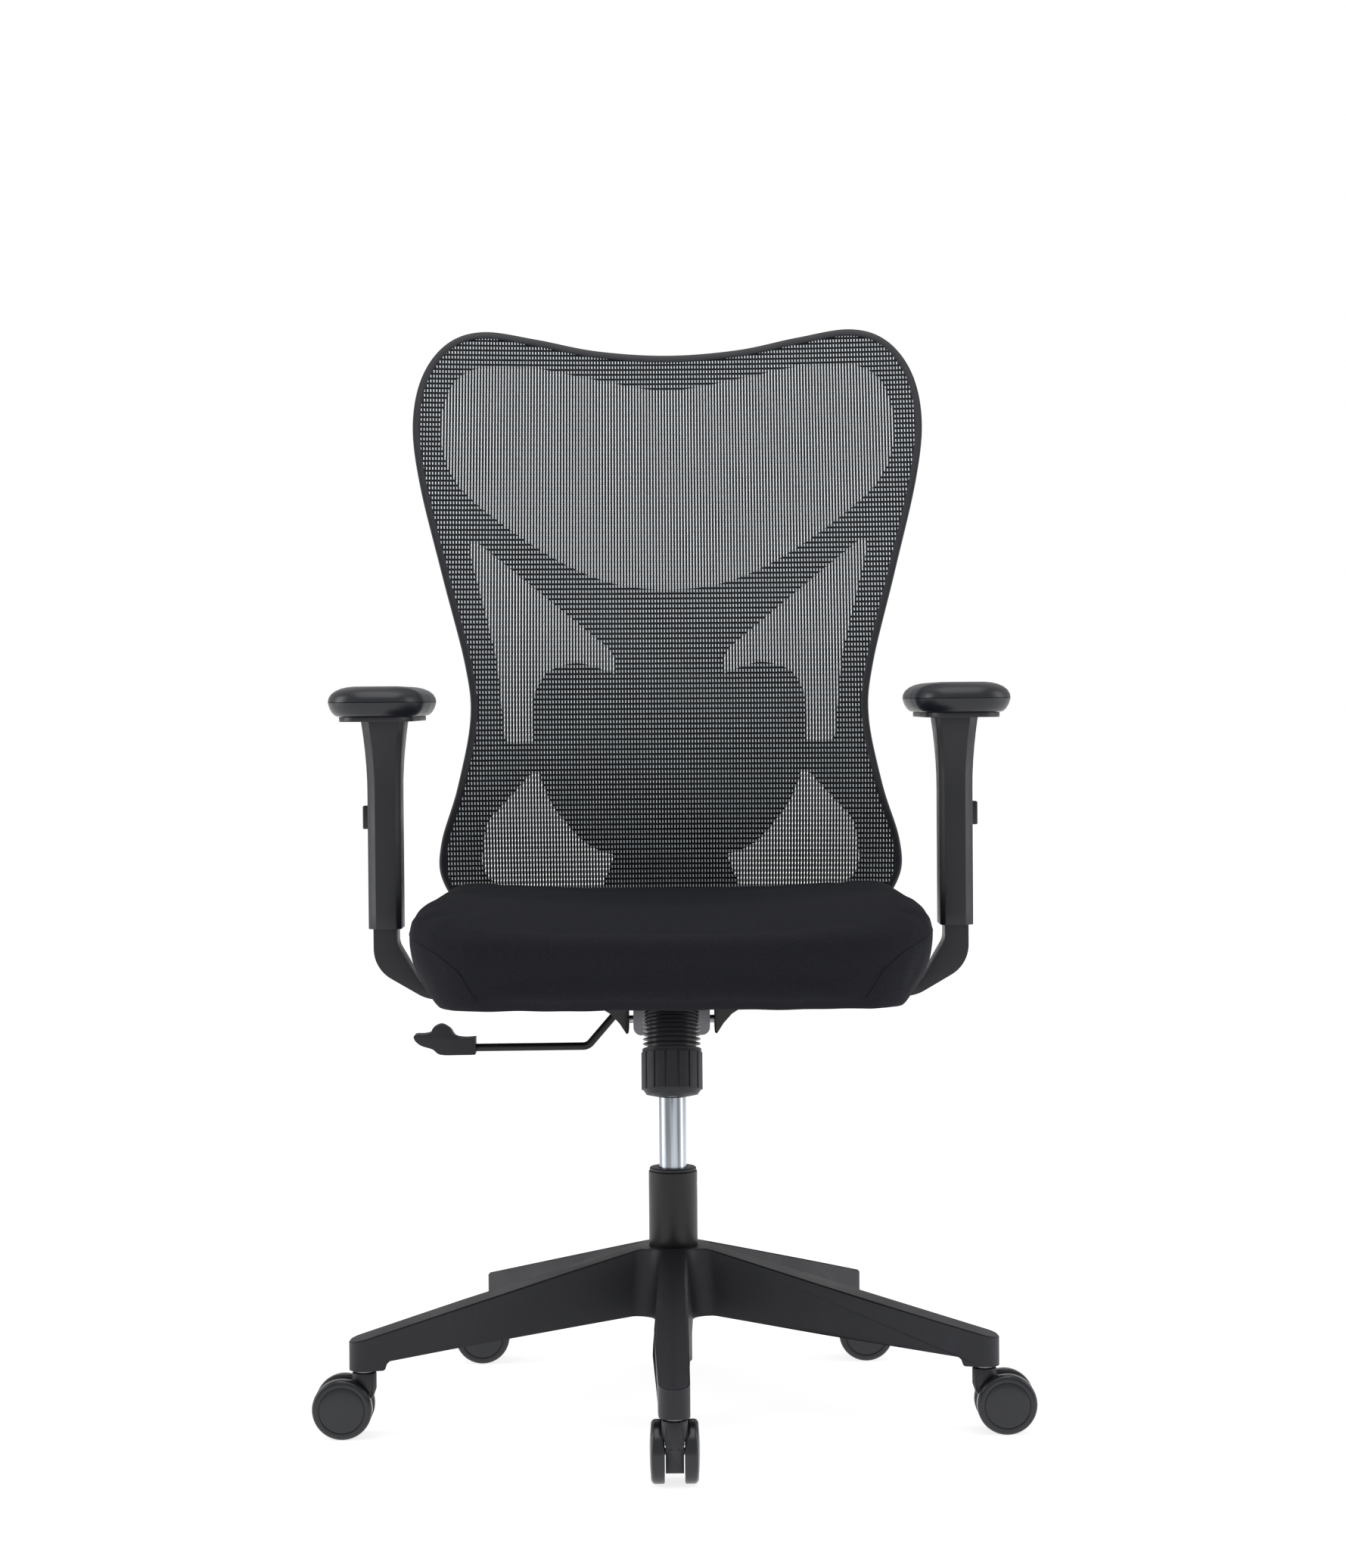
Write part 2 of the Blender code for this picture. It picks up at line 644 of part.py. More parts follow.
# ---------------------------------------------------------------- tilt mechanism
def mechanism_housing():
    """A deep pan on the lift's taper: its top line falls behind the tilt axle, and a tongue meets the spring."""
    outer = rounded([
        (-HOUSING_HALF, HOUSING_TOP_Z, 0.0),
        (-HOUSING_HALF, HOUSING_FOOT_Z, HOUSING_CORNER_R),
        (HOUSING_HALF, HOUSING_FOOT_Z, HOUSING_CORNER_R),
        (HOUSING_HALF, HOUSING_TOP_Z, 0.0),
    ], 5)
    wall = HOUSING_WALL
    inner = rounded([
        (-HOUSING_HALF + wall, HOUSING_TOP_Z + 0.01, 0.0),
        (-HOUSING_HALF + wall, HOUSING_FOOT_Z + wall, HOUSING_CORNER_R - wall),
        (HOUSING_HALF - wall, HOUSING_FOOT_Z + wall, HOUSING_CORNER_R - wall),
        (HOUSING_HALF - wall, HOUSING_TOP_Z + 0.01, 0.0),
    ], 5)
    housing = slab("mechanism_housing", [outer], HOUSING_FRONT_Y, HOUSING_REAR_Y, "XZ", GREY)
    cut(housing, slab("housing_hollow", [inner], HOUSING_FRONT_Y + wall, HOUSING_REAR_Y - wall, "XZ"))
    boss = round_bar("taper_boss", (0, 0, HOUSING_FOOT_Z + 0.001), (0, 0, TAPER_BOSS_Z + 0.003), TAPER_BOSS_R)
    join(housing, boss)
    fall = slab("housing_fall", [[
        (TILT_AXLE_Y, HOUSING_TOP_Z),
        (HOUSING_REAR_Y, HOUSING_REAR_Z),
        (HOUSING_REAR_Y + 0.02, HOUSING_REAR_Z),
        (HOUSING_REAR_Y + 0.02, HOUSING_TOP_Z + 0.03),
        (TILT_AXLE_Y, HOUSING_TOP_Z + 0.03),
    ]], -0.1, 0.1, "YZ")
    cut(housing, fall)
    cut(housing, round_bar("taper_bore", (0, 0, 0.3), (0, 0, CYLINDER_TOP_Z + GAP), CYLINDER_R + GAP, segments=24))
    cut(housing, round_bar("release_way", (0, 0, 0.4), (0, 0, 0.5), RELEASE_PIN_R + 0.002))
    cut(housing, round_bar("tilt_bore", (-0.1, TILT_AXLE_Y, TILT_AXLE_Z), (0.1, TILT_AXLE_Y, TILT_AXLE_Z),
                           TILT_AXLE_R + GAP, segments=16))
    cut(housing, round_bar("lever_bore", (-0.1, 0, LEVER_Z), (-0.02, 0, LEVER_Z), LEVER_R + 0.0035, segments=20))
    tongue_z = SLEEVE_TOP_Z - 0.001
    reach = round_bar("spring_stop", (0, SLEEVE_Y, tongue_z - 0.0045), (0, SLEEVE_Y, tongue_z), 0.0170)
    arm = block("spring_stop_arm", (-0.011, SLEEVE_Y, tongue_z - 0.0045), (0.011, HOUSING_FRONT_Y + 0.001, tongue_z))
    join(housing, reach, arm)


def tilt_axle():
    round_bar("tilt_axle", (-WING_INNER - 0.006, TILT_AXLE_Y, TILT_AXLE_Z),
              (WING_INNER + 0.006, TILT_AXLE_Y, TILT_AXLE_Z), TILT_AXLE_R, STEEL, segments=16)


def sleeve_place():
    """Z up along the leaning sleeve, with the origin at the middle of its top."""
    return Matrix.Translation((0, SLEEVE_Y, SLEEVE_TOP_Z)) @ Matrix.Rotation(-SLEEVE_TILT, 4, "X")


def tension_parts():
    place = sleeve_place()
    profile = [(SLEEVE_R - SLEEVE_GROOVE, 0.0)]
    pitch = (SLEEVE_LENGTH - 0.002) / SLEEVE_RINGS
    for ring in range(SLEEVE_RINGS):
        top = -0.001 - ring * pitch
        profile.append((SLEEVE_R - SLEEVE_GROOVE, top - pitch * 0.25))
        profile.append((SLEEVE_R, top - pitch * 0.6))
    profile += [(SLEEVE_R - SLEEVE_GROOVE, -SLEEVE_LENGTH), (SLEEVE_ROOT, -SLEEVE_LENGTH), (SLEEVE_ROOT, 0.0)]
    sleeve = turned("thread_sleeve", profile, PLASTIC, segments=22, closed=True, place=place)
    cut(sleeve, tongue_window("sleeve_window"))

    fit = SLEEVE_R + RUNNING
    knob_foot = -KNOB_START - KNOB_LENGTH
    inner_foot = knob_foot + KNOB_WALL + 0.004
    sleeve_foot = -SLEEVE_LENGTH - 0.001
    knob = turned("tension_knob", [
        (KNOB_R, -KNOB_START),
        (KNOB_R, knob_foot + 0.0085),
        (KNOB_R * 0.84, knob_foot + 0.0035),
        (0.0125, knob_foot),
        (TENSION_BOLT_R + GAP, knob_foot),
        (TENSION_BOLT_R + GAP, inner_foot),
        (SLEEVE_ROOT + 0.0008, inner_foot),
        (SLEEVE_ROOT + 0.0008, sleeve_foot),
        (fit, sleeve_foot),
        (fit, -KNOB_START),
    ], PLASTIC, segments=2 * KNOB_RIBS, closed=True, place=place)
    for rib in range(KNOB_RIBS):
        turn = 2 * math.pi * (rib + 0.5) / KNOB_RIBS
        spoke = Vector((math.cos(turn), math.sin(turn), 0)) * (KNOB_R + 0.0004)
        groove = round_bar(f"knob_groove_{rib + 1}", spoke + Vector((0, 0, -KNOB_START - 0.003)),
                           spoke + Vector((0, 0, knob_foot - 0.01)), KNOB_GROOVE, segments=6)
        groove.matrix_world = place
        cut(knob, groove)

    plate_foot = -SPRING_PLATE_START - SPRING_PLATE_THICKNESS
    bolt_top = -SPRING_PLATE_START + 0.018
    bolt = round_bar("tension_bolt", (0, 0, knob_foot + 0.001), (0, 0, bolt_top), TENSION_BOLT_R, STEEL, segments=16)
    bolt.matrix_world = place
    turned("spring_plate", [
        (SLEEVE_ROOT - 0.0008, -SPRING_PLATE_START),
        (SLEEVE_ROOT - 0.0008, plate_foot),
        (TENSION_BOLT_R + RUNNING, plate_foot),
        (TENSION_BOLT_R + RUNNING, -SPRING_PLATE_START),
    ], STEEL, segments=24, closed=True, place=place)

    # The spring stands on its plate and ends just under the housing's stop.
    low = -SPRING_PLATE_START + SPRING_WIRE_R + GAP
    high = -0.0145
    steps = SPRING_TURNS * 10
    coil = bpy.data.curves.new("tension_spring", "CURVE")
    coil.dimensions = "3D"
    coil.bevel_depth = SPRING_WIRE_R
    coil.bevel_resolution = 0
    coil.use_fill_caps = True
    spline = coil.splines.new("POLY")
    spline.points.add(steps)
    for i, point in enumerate(spline.points):
        turn = 2 * math.pi * i / 10
        point.co = (SPRING_R * math.cos(turn), SPRING_R * math.sin(turn), low + (high - low) * i / steps, 1.0)
    spring = bpy.data.objects.new("tension_spring", coil)
    coil.materials.append(STEEL)
    CHAIR.objects.link(spring)
    spring.matrix_world = place


def tongue_window(name):
    """The way for the housing's tongue through the rear of the sleeve and of the boss over it."""
    return block(name, (-0.0145, SLEEVE_Y + 0.010, SLEEVE_TOP_Z - 0.017),
                 (0.0145, HOUSING_FRONT_Y - 0.0005, SEAT_PLATE_FOOT_Z - 0.0006))


def seat_plate():
    """The tilting plate under the seat: a frame round the housing, two wings for the axle and a boss for the sleeve."""
    hole_half = HOUSING_HALF + 0.0030
    frame = rounded([
        (-SEAT_PLATE_HALF, SEAT_PLATE_FRONT_Y, 0.012),
        (SEAT_PLATE_HALF, SEAT_PLATE_FRONT_Y, 0.012),
        (SEAT_PLATE_HALF, SEAT_PLATE_REAR_Y, 0.012),
        (-SEAT_PLATE_HALF, SEAT_PLATE_REAR_Y, 0.012),
    ])
    window = rounded([
        (-hole_half, HOUSING_FRONT_Y + 0.006, 0.005),
        (hole_half, HOUSING_FRONT_Y + 0.006, 0.005),
        (hole_half, HOUSING_REAR_Y + 0.012, 0.005),
        (-hole_half, HOUSING_REAR_Y + 0.012, 0.005),
    ])
    plate = slab("seat_plate", [frame, window], SEAT_PLATE_FOOT_Z, SEAT_PLATE_TOP_Z, "XY", STEEL_BLACK)
    wing_top = SEAT_PLATE_FOOT_Z + 0.001
    wing = [
        (WING_INNER, wing_top),
        (WING_INNER, WING_TIP_Z + 0.0015),
        (WING_INNER + 0.0022, WING_TIP_Z),
        (WING_INNER + 0.0090, WING_TIP_Z + 0.0105),
        (WING_INNER + 0.0175, WING_TIP_Z + 0.0200),
        (WING_INNER + 0.0280, WING_TIP_Z + 0.0265),
        (WING_INNER + 0.0400, WING_TIP_Z + 0.0300),
        (WING_INNER + 0.0400, wing_top),
    ]
    rear = TILT_AXLE_Y + WING_LENGTH / 2 - 0.008
    for word, side in (("left", -1), ("right", 1)):
        outline = [(side * x, z) for x, z in wing]
        join(plate, slab(f"wing_{word}", [outline], rear - WING_LENGTH, rear, "XZ"))
    boss = turned("sleeve_boss", [
        (SLEEVE_R, 0.020),
        (SLEEVE_R, GAP),
        (SLEEVE_ROOT, GAP),
        (SLEEVE_ROOT, 0.020),
    ], segments=22, closed=True, place=sleeve_place())
    cut(boss, block("boss_trim", (-0.1, -0.2, SEAT_PLATE_FOOT_Z + 0.0015), (0.1, 0.0, SEAT_PLATE_FOOT_Z + 0.05)))
    join(plate, boss)
    cut(plate, tongue_window("boss_window"))
    cut(plate, round_bar("wing_bore", (-0.1, TILT_AXLE_Y, TILT_AXLE_Z), (0.1, TILT_AXLE_Y, TILT_AXLE_Z),
                         TILT_AXLE_R + RUNNING, segments=16))


def lever():
    """A rod through a bushing in the housing's left wall. Its inner end lies over the release pin."""
    wall = HOUSING_WALL
    bushing_x = -HOUSING_HALF
    ring = turned("lever_bushing", [
        (LEVER_R + 0.0032, wall / 2 + 0.0010),
        (LEVER_R + 0.0032, -wall / 2 - 0.0010),
        (LEVER_R + RUNNING, -wall / 2 - 0.0010),
        (LEVER_R + RUNNING, wall / 2 + 0.0010),
    ], PLASTIC, segments=20, closed=True)
    ring.matrix_world = Matrix.Translation((bushing_x + wall / 2, 0, LEVER_Z)) @ Matrix.Rotation(math.pi / 2, 4, "Y")
    route = [
        (0.019, LEVER_Z),
        (bushing_x - 0.008, LEVER_Z),
        (bushing_x - 0.012, LEVER_Z - 0.0018),
        (bushing_x - 0.015, LEVER_Z - 0.0050),
        (bushing_x - 0.0455, LEVER_Z - 0.0400),
        (bushing_x - 0.0490, LEVER_Z - 0.0432),
        (bushing_x - 0.0540, LEVER_Z - 0.0445),
        (bushing_x - 0.1900, LEVER_Z - 0.0450),
    ]
    rod = bpy.data.curves.new("lever_rod", "CURVE")
    rod.dimensions = "3D"
    rod.bevel_depth = LEVER_R
    rod.bevel_resolution = 2
    rod.use_fill_caps = True
    spline = rod.splines.new("POLY")
    spline.points.add(len(route) - 1)
    for point, (x, z) in zip(spline.points, route):
        point.co = (x, 0.0, z, 1.0)
    rod.materials.append(STEEL_BLACK)
    CHAIR.objects.link(bpy.data.objects.new("lever_rod", rod))

    end_x = bushing_x - 0.1900
    axis_z = LEVER_Z - 0.0450
    grip = rounded([
        (end_x + 0.027, axis_z - 0.0085, 0.003),
        (end_x + 0.027, axis_z + 0.0085, 0.003),
        (end_x + 0.004, axis_z + 0.0100, 0.004),
        (end_x - 0.002, axis_z + 0.0245, 0.006),
        (end_x - 0.012, axis_z + 0.0245, 0.006),
        (end_x - 0.020, axis_z + 0.0120, 0.004),
        (end_x - 0.038, axis_z + 0.0090, 0.004),
        (end_x - 0.038, axis_z - 0.0010, 0.004),
        (end_x - 0.010, axis_z - 0.0085, 0.005),
    ], 3)
    handle = slab("lever_handle", [grip], -0.0105, 0.0105, "XZ", PLASTIC)
    cut(handle, round_bar("handle_bore", (end_x - GAP, 0, axis_z), (end_x + 0.1, 0, axis_z), LEVER_R + GAP, segments=16))


# ---------------------------------------------------------------- seat
def seat_outline(distance, steps=6):
    """The cushion's plan, moved inwards."""
    corners = [
        (-SEAT_HALF_WIDTH + 0.014, SEAT_REAR_Y, 0.075),
        (-SEAT_HALF_WIDTH - 0.004, SEAT_FRONT_Y, 0.085),
        (SEAT_HALF_WIDTH + 0.004, SEAT_FRONT_Y, 0.085),
        (SEAT_HALF_WIDTH - 0.014, SEAT_REAR_Y, 0.075),
    ]
    return inset(rounded(corners, steps), distance)


def seat_top(x, y, distance):
    """Height of the cushion's top surface at a place that lies this far inside its edge."""
    across = min(1.0, abs(x) / SEAT_HALF_WIDTH)
    along = (y - SEAT_FRONT_Y) / (SEAT_REAR_Y - SEAT_FRONT_Y)
    front = max(0.0, 1.0 - along / 0.42)
    crown = min(1.0, distance / 0.030)
    return (SEAT_SIDE_Z - 0.010 * (1 - crown) ** 2 - SEAT_DISH * (1 - across**2) * crown
            - SEAT_FRONT_DROP * front**2.2)


def seat_cushion():
    rings = []
    for share, distance in ((0.0, 0.029), (0.12, 0.0195), (0.36, 0.0120), (0.65, 0.0050), (1.0, 0.0)):
        rings.append([
            (x, y, SEAT_FOOT_Z + share * (min(SEAT_WIDEST_Z, seat_top(x, y, 0.0) - 0.012) - SEAT_FOOT_Z))
            for x, y in seat_outline(distance)
        ])
    for distance in (0.004, 0.014, 0.032, 0.065, 0.110, 0.160):
        rings.append([(x, y, seat_top(x, y, distance)) for x, y in shrunk(distance)])
    cushion = loft("seat_cushion", rings, FABRIC)
    pan = slab("pan_recess", [seat_outline(PAN_INSET - GAP, 4)], SEAT_FOOT_Z - 0.01, PAN_TOP_Z + GAP)
    cut(cushion, pan)


def shrunk(distance):
    """The plan moved inwards in proportion, which keeps its points apart."""
    middle = (SEAT_FRONT_Y + SEAT_REAR_Y) / 2
    half = (SEAT_REAR_Y - SEAT_FRONT_Y) / 2
    return [(x * (1 - distance / SEAT_HALF_WIDTH), middle + (y - middle) * (1 - distance / half))
            for x, y in seat_outline(0.0)]


def seat_pan():
    slab("seat_pan", [seat_outline(PAN_INSET, 4)], SEAT_FOOT_Z, PAN_TOP_Z, "XY", WOOD)


# ---------------------------------------------------------------- arms
def arm(word, side):
    outer = ARM_X + ARM_BAR_THICKNESS / 2
    inner = ARM_X - ARM_BAR_THICKNESS / 2
    foot = SEAT_PLATE_TOP_Z - ARM_FOOT_THICKNESS
    outline = rounded([
        (side * ARM_FOOT_X, SEAT_PLATE_TOP_Z, 0.0),
        (side * ARM_FOOT_X, foot, 0.0),
        (side * (outer - 0.055), foot, 0.040),
        (side * outer, foot + 0.032, ARM_BEND_R * 0.8),
        (side * outer, ARM_BAR_TOP_Z, 0.002),
        (side * inner, ARM_BAR_TOP_Z, 0.002),
        (side * inner, SEAT_PLATE_TOP_Z + 0.045, 0.020),
        (side * (inner - 0.026), SEAT_PLATE_TOP_Z, 0.012),
    ], 5)
    low, high = ARM_Y - ARM_BAR_WIDTH / 2, ARM_Y + ARM_BAR_WIDTH / 2
    bracket = slab(f"arm_bracket_{word}", [outline], low, high, "XZ", PLASTIC)
    ratchet_low = BUTTON_Z - 0.5 * BUTTON_HEIGHT - 0.012
    reach = (side * (outer - 0.0075), side * (outer + 0.01))
    cut(bracket, block(f"ratchet_{word}", (min(reach), ARM_Y - BUTTON_WIDTH / 2 - 0.002, ratchet_low),
                       (max(reach), ARM_Y + BUTTON_WIDTH / 2 + 0.002, ARM_BAR_TOP_Z + 0.01)))

    half_t, half_w = ARM_SLEEVE_THICKNESS / 2, ARM_SLEEVE_WIDTH / 2
    rings = []
    for height, flare in ((ARM_SLEEVE_FOOT_Z, 0.0), (ARM_SLEEVE_TOP_Z - 0.060, 0.0),
                          (ARM_SLEEVE_TOP_Z - 0.020, ARM_FLARE * 0.5), (ARM_SLEEVE_TOP_Z, ARM_FLARE)):
        t, w = half_t + flare, half_w + flare * 2
        section = rounded([(-t, -w, 0.009), (t, -w, 0.009), (t, w, 0.009), (-t, w, 0.009)], 2)
        rings.append([(side * ARM_X + x, ARM_Y + y, height) for x, y in section])
    sleeve = loft(f"arm_sleeve_{word}", rings, PLASTIC)
    slack = RUNNING
    half_bar, half_bar_w = ARM_BAR_THICKNESS / 2 + slack, ARM_BAR_WIDTH / 2 + slack
    slot = block(f"arm_slot_{word}", (side * ARM_X - half_bar, ARM_Y - half_bar_w, ARM_SLEEVE_FOOT_Z - 0.01),
                 (side * ARM_X + half_bar, ARM_Y + half_bar_w, ARM_SLEEVE_TOP_Z - 0.008))
    cut(sleeve, slot)
    hole_reach = (side * ARM_X, side * (ARM_X + 0.05))
    button_half_w, button_half_h = BUTTON_WIDTH / 2, BUTTON_HEIGHT / 2
    cut(sleeve, block(f"button_hole_{word}",
                      (min(hole_reach), ARM_Y - button_half_w - slack, BUTTON_Z - button_half_h - slack),
                      (max(hole_reach), ARM_Y + button_half_w + slack, BUTTON_Z + button_half_h + slack)))
    plate = slab(f"arm_plate_{word}", [pad_outline(side, 0.006)], ARM_SLEEVE_TOP_Z - 0.0005,
                 ARM_SLEEVE_TOP_Z + ARM_PLATE_THICKNESS)
    join(sleeve, plate)

    button_face = ARM_X + half_t + BUTTON_PROUD
    button_root = outer - 0.0035
    button_x = (side * button_root, side * button_face)
    button = block(f"arm_button_{word}", (min(button_x), ARM_Y - button_half_w, BUTTON_Z - button_half_h),
                   (max(button_x), ARM_Y + button_half_w, BUTTON_Z + button_half_h), PLASTIC)
    edge = button.modifiers.new("edge", "BEVEL")
    edge.width = 0.0012
    edge.segments = 2

    rings = []
    for height, distance in ((0.0, 0.006), (0.006, 0.001), (0.015, 0.0), (0.024, 0.003), (0.029, 0.010),
                             (0.030, 0.020)):
        rings.append([(x, y, PAD_FOOT_Z + height * PAD_THICKNESS / 0.030) for x, y in pad_outline(side, distance)])
    loft(f"arm_pad_{word}", rings, PAD)


def pad_outline(side, distance):
    half, length = PAD_HALF_WIDTH, PAD_LENGTH / 2
    corners = [(-half, -length, 0.040), (half, -length, 0.040), (half, length, 0.040), (-half, length, 0.040)]
    return [(side * ARM_X + x, ARM_Y - 0.012 + y) for x, y in inset(rounded(corners, 4), distance)]


def arms():
    arm("left", -1)
    arm("right", 1)


# ---------------------------------------------------------------- back
def back_surface(x, z):
    """How far back the middle of the back frame lies, at this place in its front view."""
    rise = math.hypot(LUMBAR_BEND, z - LUMBAR_Z) - LUMBAR_BEND
    return LUMBAR_Y + RECLINE * rise - BACK_WRAP * (x / BACK_HALF_WIDTH) ** 2


def bent(obj, grid=(0.10, 0.06)):
    """The flat part with its modifiers applied, cut across on a grid and laid onto the back's surface."""
    bpy.context.view_layer.update()
    graph = bpy.context.evaluated_depsgraph_get()
    mesh = bpy.data.meshes.new_from_object(obj.evaluated_get(graph))
    obj.modifiers.clear()
    obj.data = mesh
    shape = bmesh.new()
    shape.from_mesh(mesh)
    bmesh.ops.triangulate(shape, faces=shape.faces)
    box = [(min(v.co[i] for v in shape.verts), max(v.co[i] for v in shape.verts)) for i in range(3)]
    for axis, pitch in zip((0, 2), grid):
        low, high = box[axis]
        first = math.ceil(low / pitch - 0.45)
        last = math.floor(high / pitch - 0.55)
        for step in range(first, last + 1):
            at, normal = Vector((0, 0, 0)), Vector((0, 0, 0))
            at[axis] = (step + 0.5) * pitch
            normal[axis] = 1.0
            everything = shape.verts[:] + shape.edges[:] + shape.faces[:]
            bmesh.ops.bisect_plane(shape, geom=everything, dist=0.00001, plane_co=at, plane_no=normal)
    bmesh.ops.remove_doubles(shape, verts=shape.verts, dist=0.00002)
    bmesh.ops.triangulate(shape, faces=shape.faces)
    for vert in shape.verts:
        vert.co.y += back_surface(vert.co.x, vert.co.z)
    shape.to_mesh(mesh)
    shape.free()
    return obj


def back_outline():
    return smooth_outline(mirrored([
        (0.000, 1.120),
        (0.079, 1.1255),
        (0.145, 1.1385),
        (0.205, 1.1470),
        (0.245, 1.1330),
        (0.272, 1.0950),
        (BACK_HALF_WIDTH, 1.0400),
        (0.273, 0.9720),
        (0.2477, 0.8710),
        (0.2223, 0.7720),
        (0.2170, 0.7130),
        (0.2316, 0.6395),
        (0.2500, 0.5800),
        (0.2505, 0.5400),
        (0.2260, 0.5060),
        (0.1700, BACK_FOOT_Z),
        (0.000, BACK_FOOT_Z - 0.004),
    ]), 2)


def upper_opening():
    return mirrored([
        (0.0000, 1.0810),
        (0.0790, 1.0935),
        (0.1480, 1.1070),
        (0.2045, 1.1080),
        (0.2360, 1.0915),
        (0.2520, 1.0490),
        (0.2480, 1.0060),
        (0.2305, 0.9710),
        (0.1870, 0.9320),
        (0.1220, 0.8886),
        (0.0610, 0.8625),
        (0.0000, 0.8556),
    ])


def side_opening(side):
    return rounded([
        (side * x, z, radius) for x, z, radius in (
            (0.2245, 0.9200, 0.006),
            (0.1890, 0.7800, 0.200),
            (0.1800, 0.6860, 0.012),
            (0.0900, 0.6885, 0.025),
            (0.0570, 0.7400, 0.030),
            (0.0605, 0.7860, 0.025),
        )
    ], 2)


def lower_opening(side):
    return rounded([
        (side * x, z, radius) for x, z, radius in (
            (0.1520, 0.6540, 0.005),
            (0.2020, 0.6000, 0.035),
            (0.2090, 0.5500, 0.030),
            (0.1850, 0.5220, 0.022),
            (0.0800, 0.5165, 0.012),
            (0.0610, 0.5650, 0.050),
            (0.0650, 0.6200, 0.030),
            (0.1000, 0.6515, 0.020),
        )
    ], 2)


def back_frame():
    """A moulded web with five openings, inside a deep rim that holds the mesh."""
    outline = back_outline()
    openings = [upper_opening()]
    for side in (-1, 1):
        openings += [side_opening(side), lower_opening(side)]
    frame = slab("back_frame", [outline, inset(outline, RIM_WIDTH)], -RIM_DEPTH / 2, RIM_DEPTH / 2, "XZ", PLASTIC)
    web = slab("back_web", [inset(outline, RIM_WIDTH / 2)] + openings, WEB_FRONT, WEB_REAR, "XZ")
    join(frame, web)
    for level, height in enumerate(bolt_heights(), 1):
        cut(frame, round_bar(f"frame_hole_{level}", (0, -0.1, height), (0, 0.1, height), BOLT_R + GAP, segments=16))
    for modifier in frame.modifiers:
        modifier.solver = "MANIFOLD"  # the other solver leaves open edges where the web meets the rim
    bent(frame)


def bolt_heights():
    """The two bolts that hold the back frame on its bracket."""
    return (0.560, 0.600)


def back_mesh():
    outline = inset(back_outline(), RIM_WIDTH + GAP)
    bent(slab("back_mesh", [outline], MESH_FRONT, MESH_FRONT + MESH_THICKNESS, "XZ", MESH))


def lumbar_pad():
    outline = smooth_outline(mirrored([
        (0.000, 0.758),
        (0.050, 0.7600),
        (0.100, 0.7745),
        (0.138, 0.7600),
        (0.150, 0.7170),
        (0.142, 0.6500),
        (0.115, 0.6000),
        (0.075, 0.5670),
        (0.000, 0.5590),
    ]), 2)
    bent(slab("lumbar_pad", [outline], LUMBAR_FRONT, LUMBAR_FRONT + LUMBAR_THICKNESS, "XZ", PLASTIC))


def bracket_route():
    """The bracket's front or upper face, as (y, z) from under the seat to behind the back."""
    behind = RIM_DEPTH / 2 + GAP
    straight = [(SEAT_PLATE_REAR_Y + 0.004, SEAT_PLATE_TOP_Z), (0.262, SEAT_PLATE_TOP_Z)]
    bend = arc((0.262, SEAT_PLATE_TOP_Z + 0.020), 0.020, -75, -15, 4)
    lift = []
    steps = 6
    foot = BACK_FOOT_Z - 0.006
    for i in range(steps + 1):
        z = foot + (BRACKET_TOP_Z - foot) * i / steps
        lift.append((back_surface(0.0, z) + behind, z))
    return straight + bend + lift


def back_bracket():
    face = bracket_route()
    rear = []
    for i, (y, z) in enumerate(face):
        ahead = Vector(face[min(i + 1, len(face) - 1)])
        back = Vector(face[max(i - 1, 0)])
        run = (ahead - back).normalized()
        rear.append((y + run.y * BRACKET_THICKNESS, z - run.x * BRACKET_THICKNESS))
    half = BRACKET_WIDTH / 2
    bracket = slab("back_bracket", [face + rear[::-1]], -half, half, "YZ", STEEL_BLACK)
    for level, height in enumerate(bolt_heights(), 1):
        y = back_surface(0.0, height)
        cut(bracket, round_bar(f"bracket_hole_{level}", (0, y - 0.03, height), (0, y + 0.06, height), BOLT_R + GAP))


def back_bolts():
    """Each bolt's head rests on the bracket and its shank ends in the web."""
    for level, (word, height) in enumerate(zip(("lower", "upper"), bolt_heights()), 1):
        start = back_surface(0.0, height) + WEB_FRONT + 0.001
        # The bracket leans here, so the head stands clear of its sloping face.
        head = back_surface(0.0, height) + RIM_DEPTH / 2 + GAP + BRACKET_THICKNESS + 0.0026
        turned(f"back_bolt_{word}", [
            (0.0, 0.005),
            (BOLT_HEAD_R - 0.001, 0.005),
            (BOLT_HEAD_R, 0.004),
            (BOLT_HEAD_R, 0.0),
            (BOLT_R, 0.0),
            (BOLT_R, start - head),
            (0.0, start - head),
        ], STEEL, segments=16,
            place=Matrix.Translation((0, head, height)) @ Matrix.Rotation(-math.pi / 2, 4, "X"))


PARTS = [
    star_base, casters, column, mechanism_housing, tilt_axle, tension_parts, seat_plate, lever,
    seat_cushion, seat_pan, arms, back_frame, back_mesh, lumbar_pad, back_bracket, back_bolts,
]


def main():
    for build in PARTS:
        build()


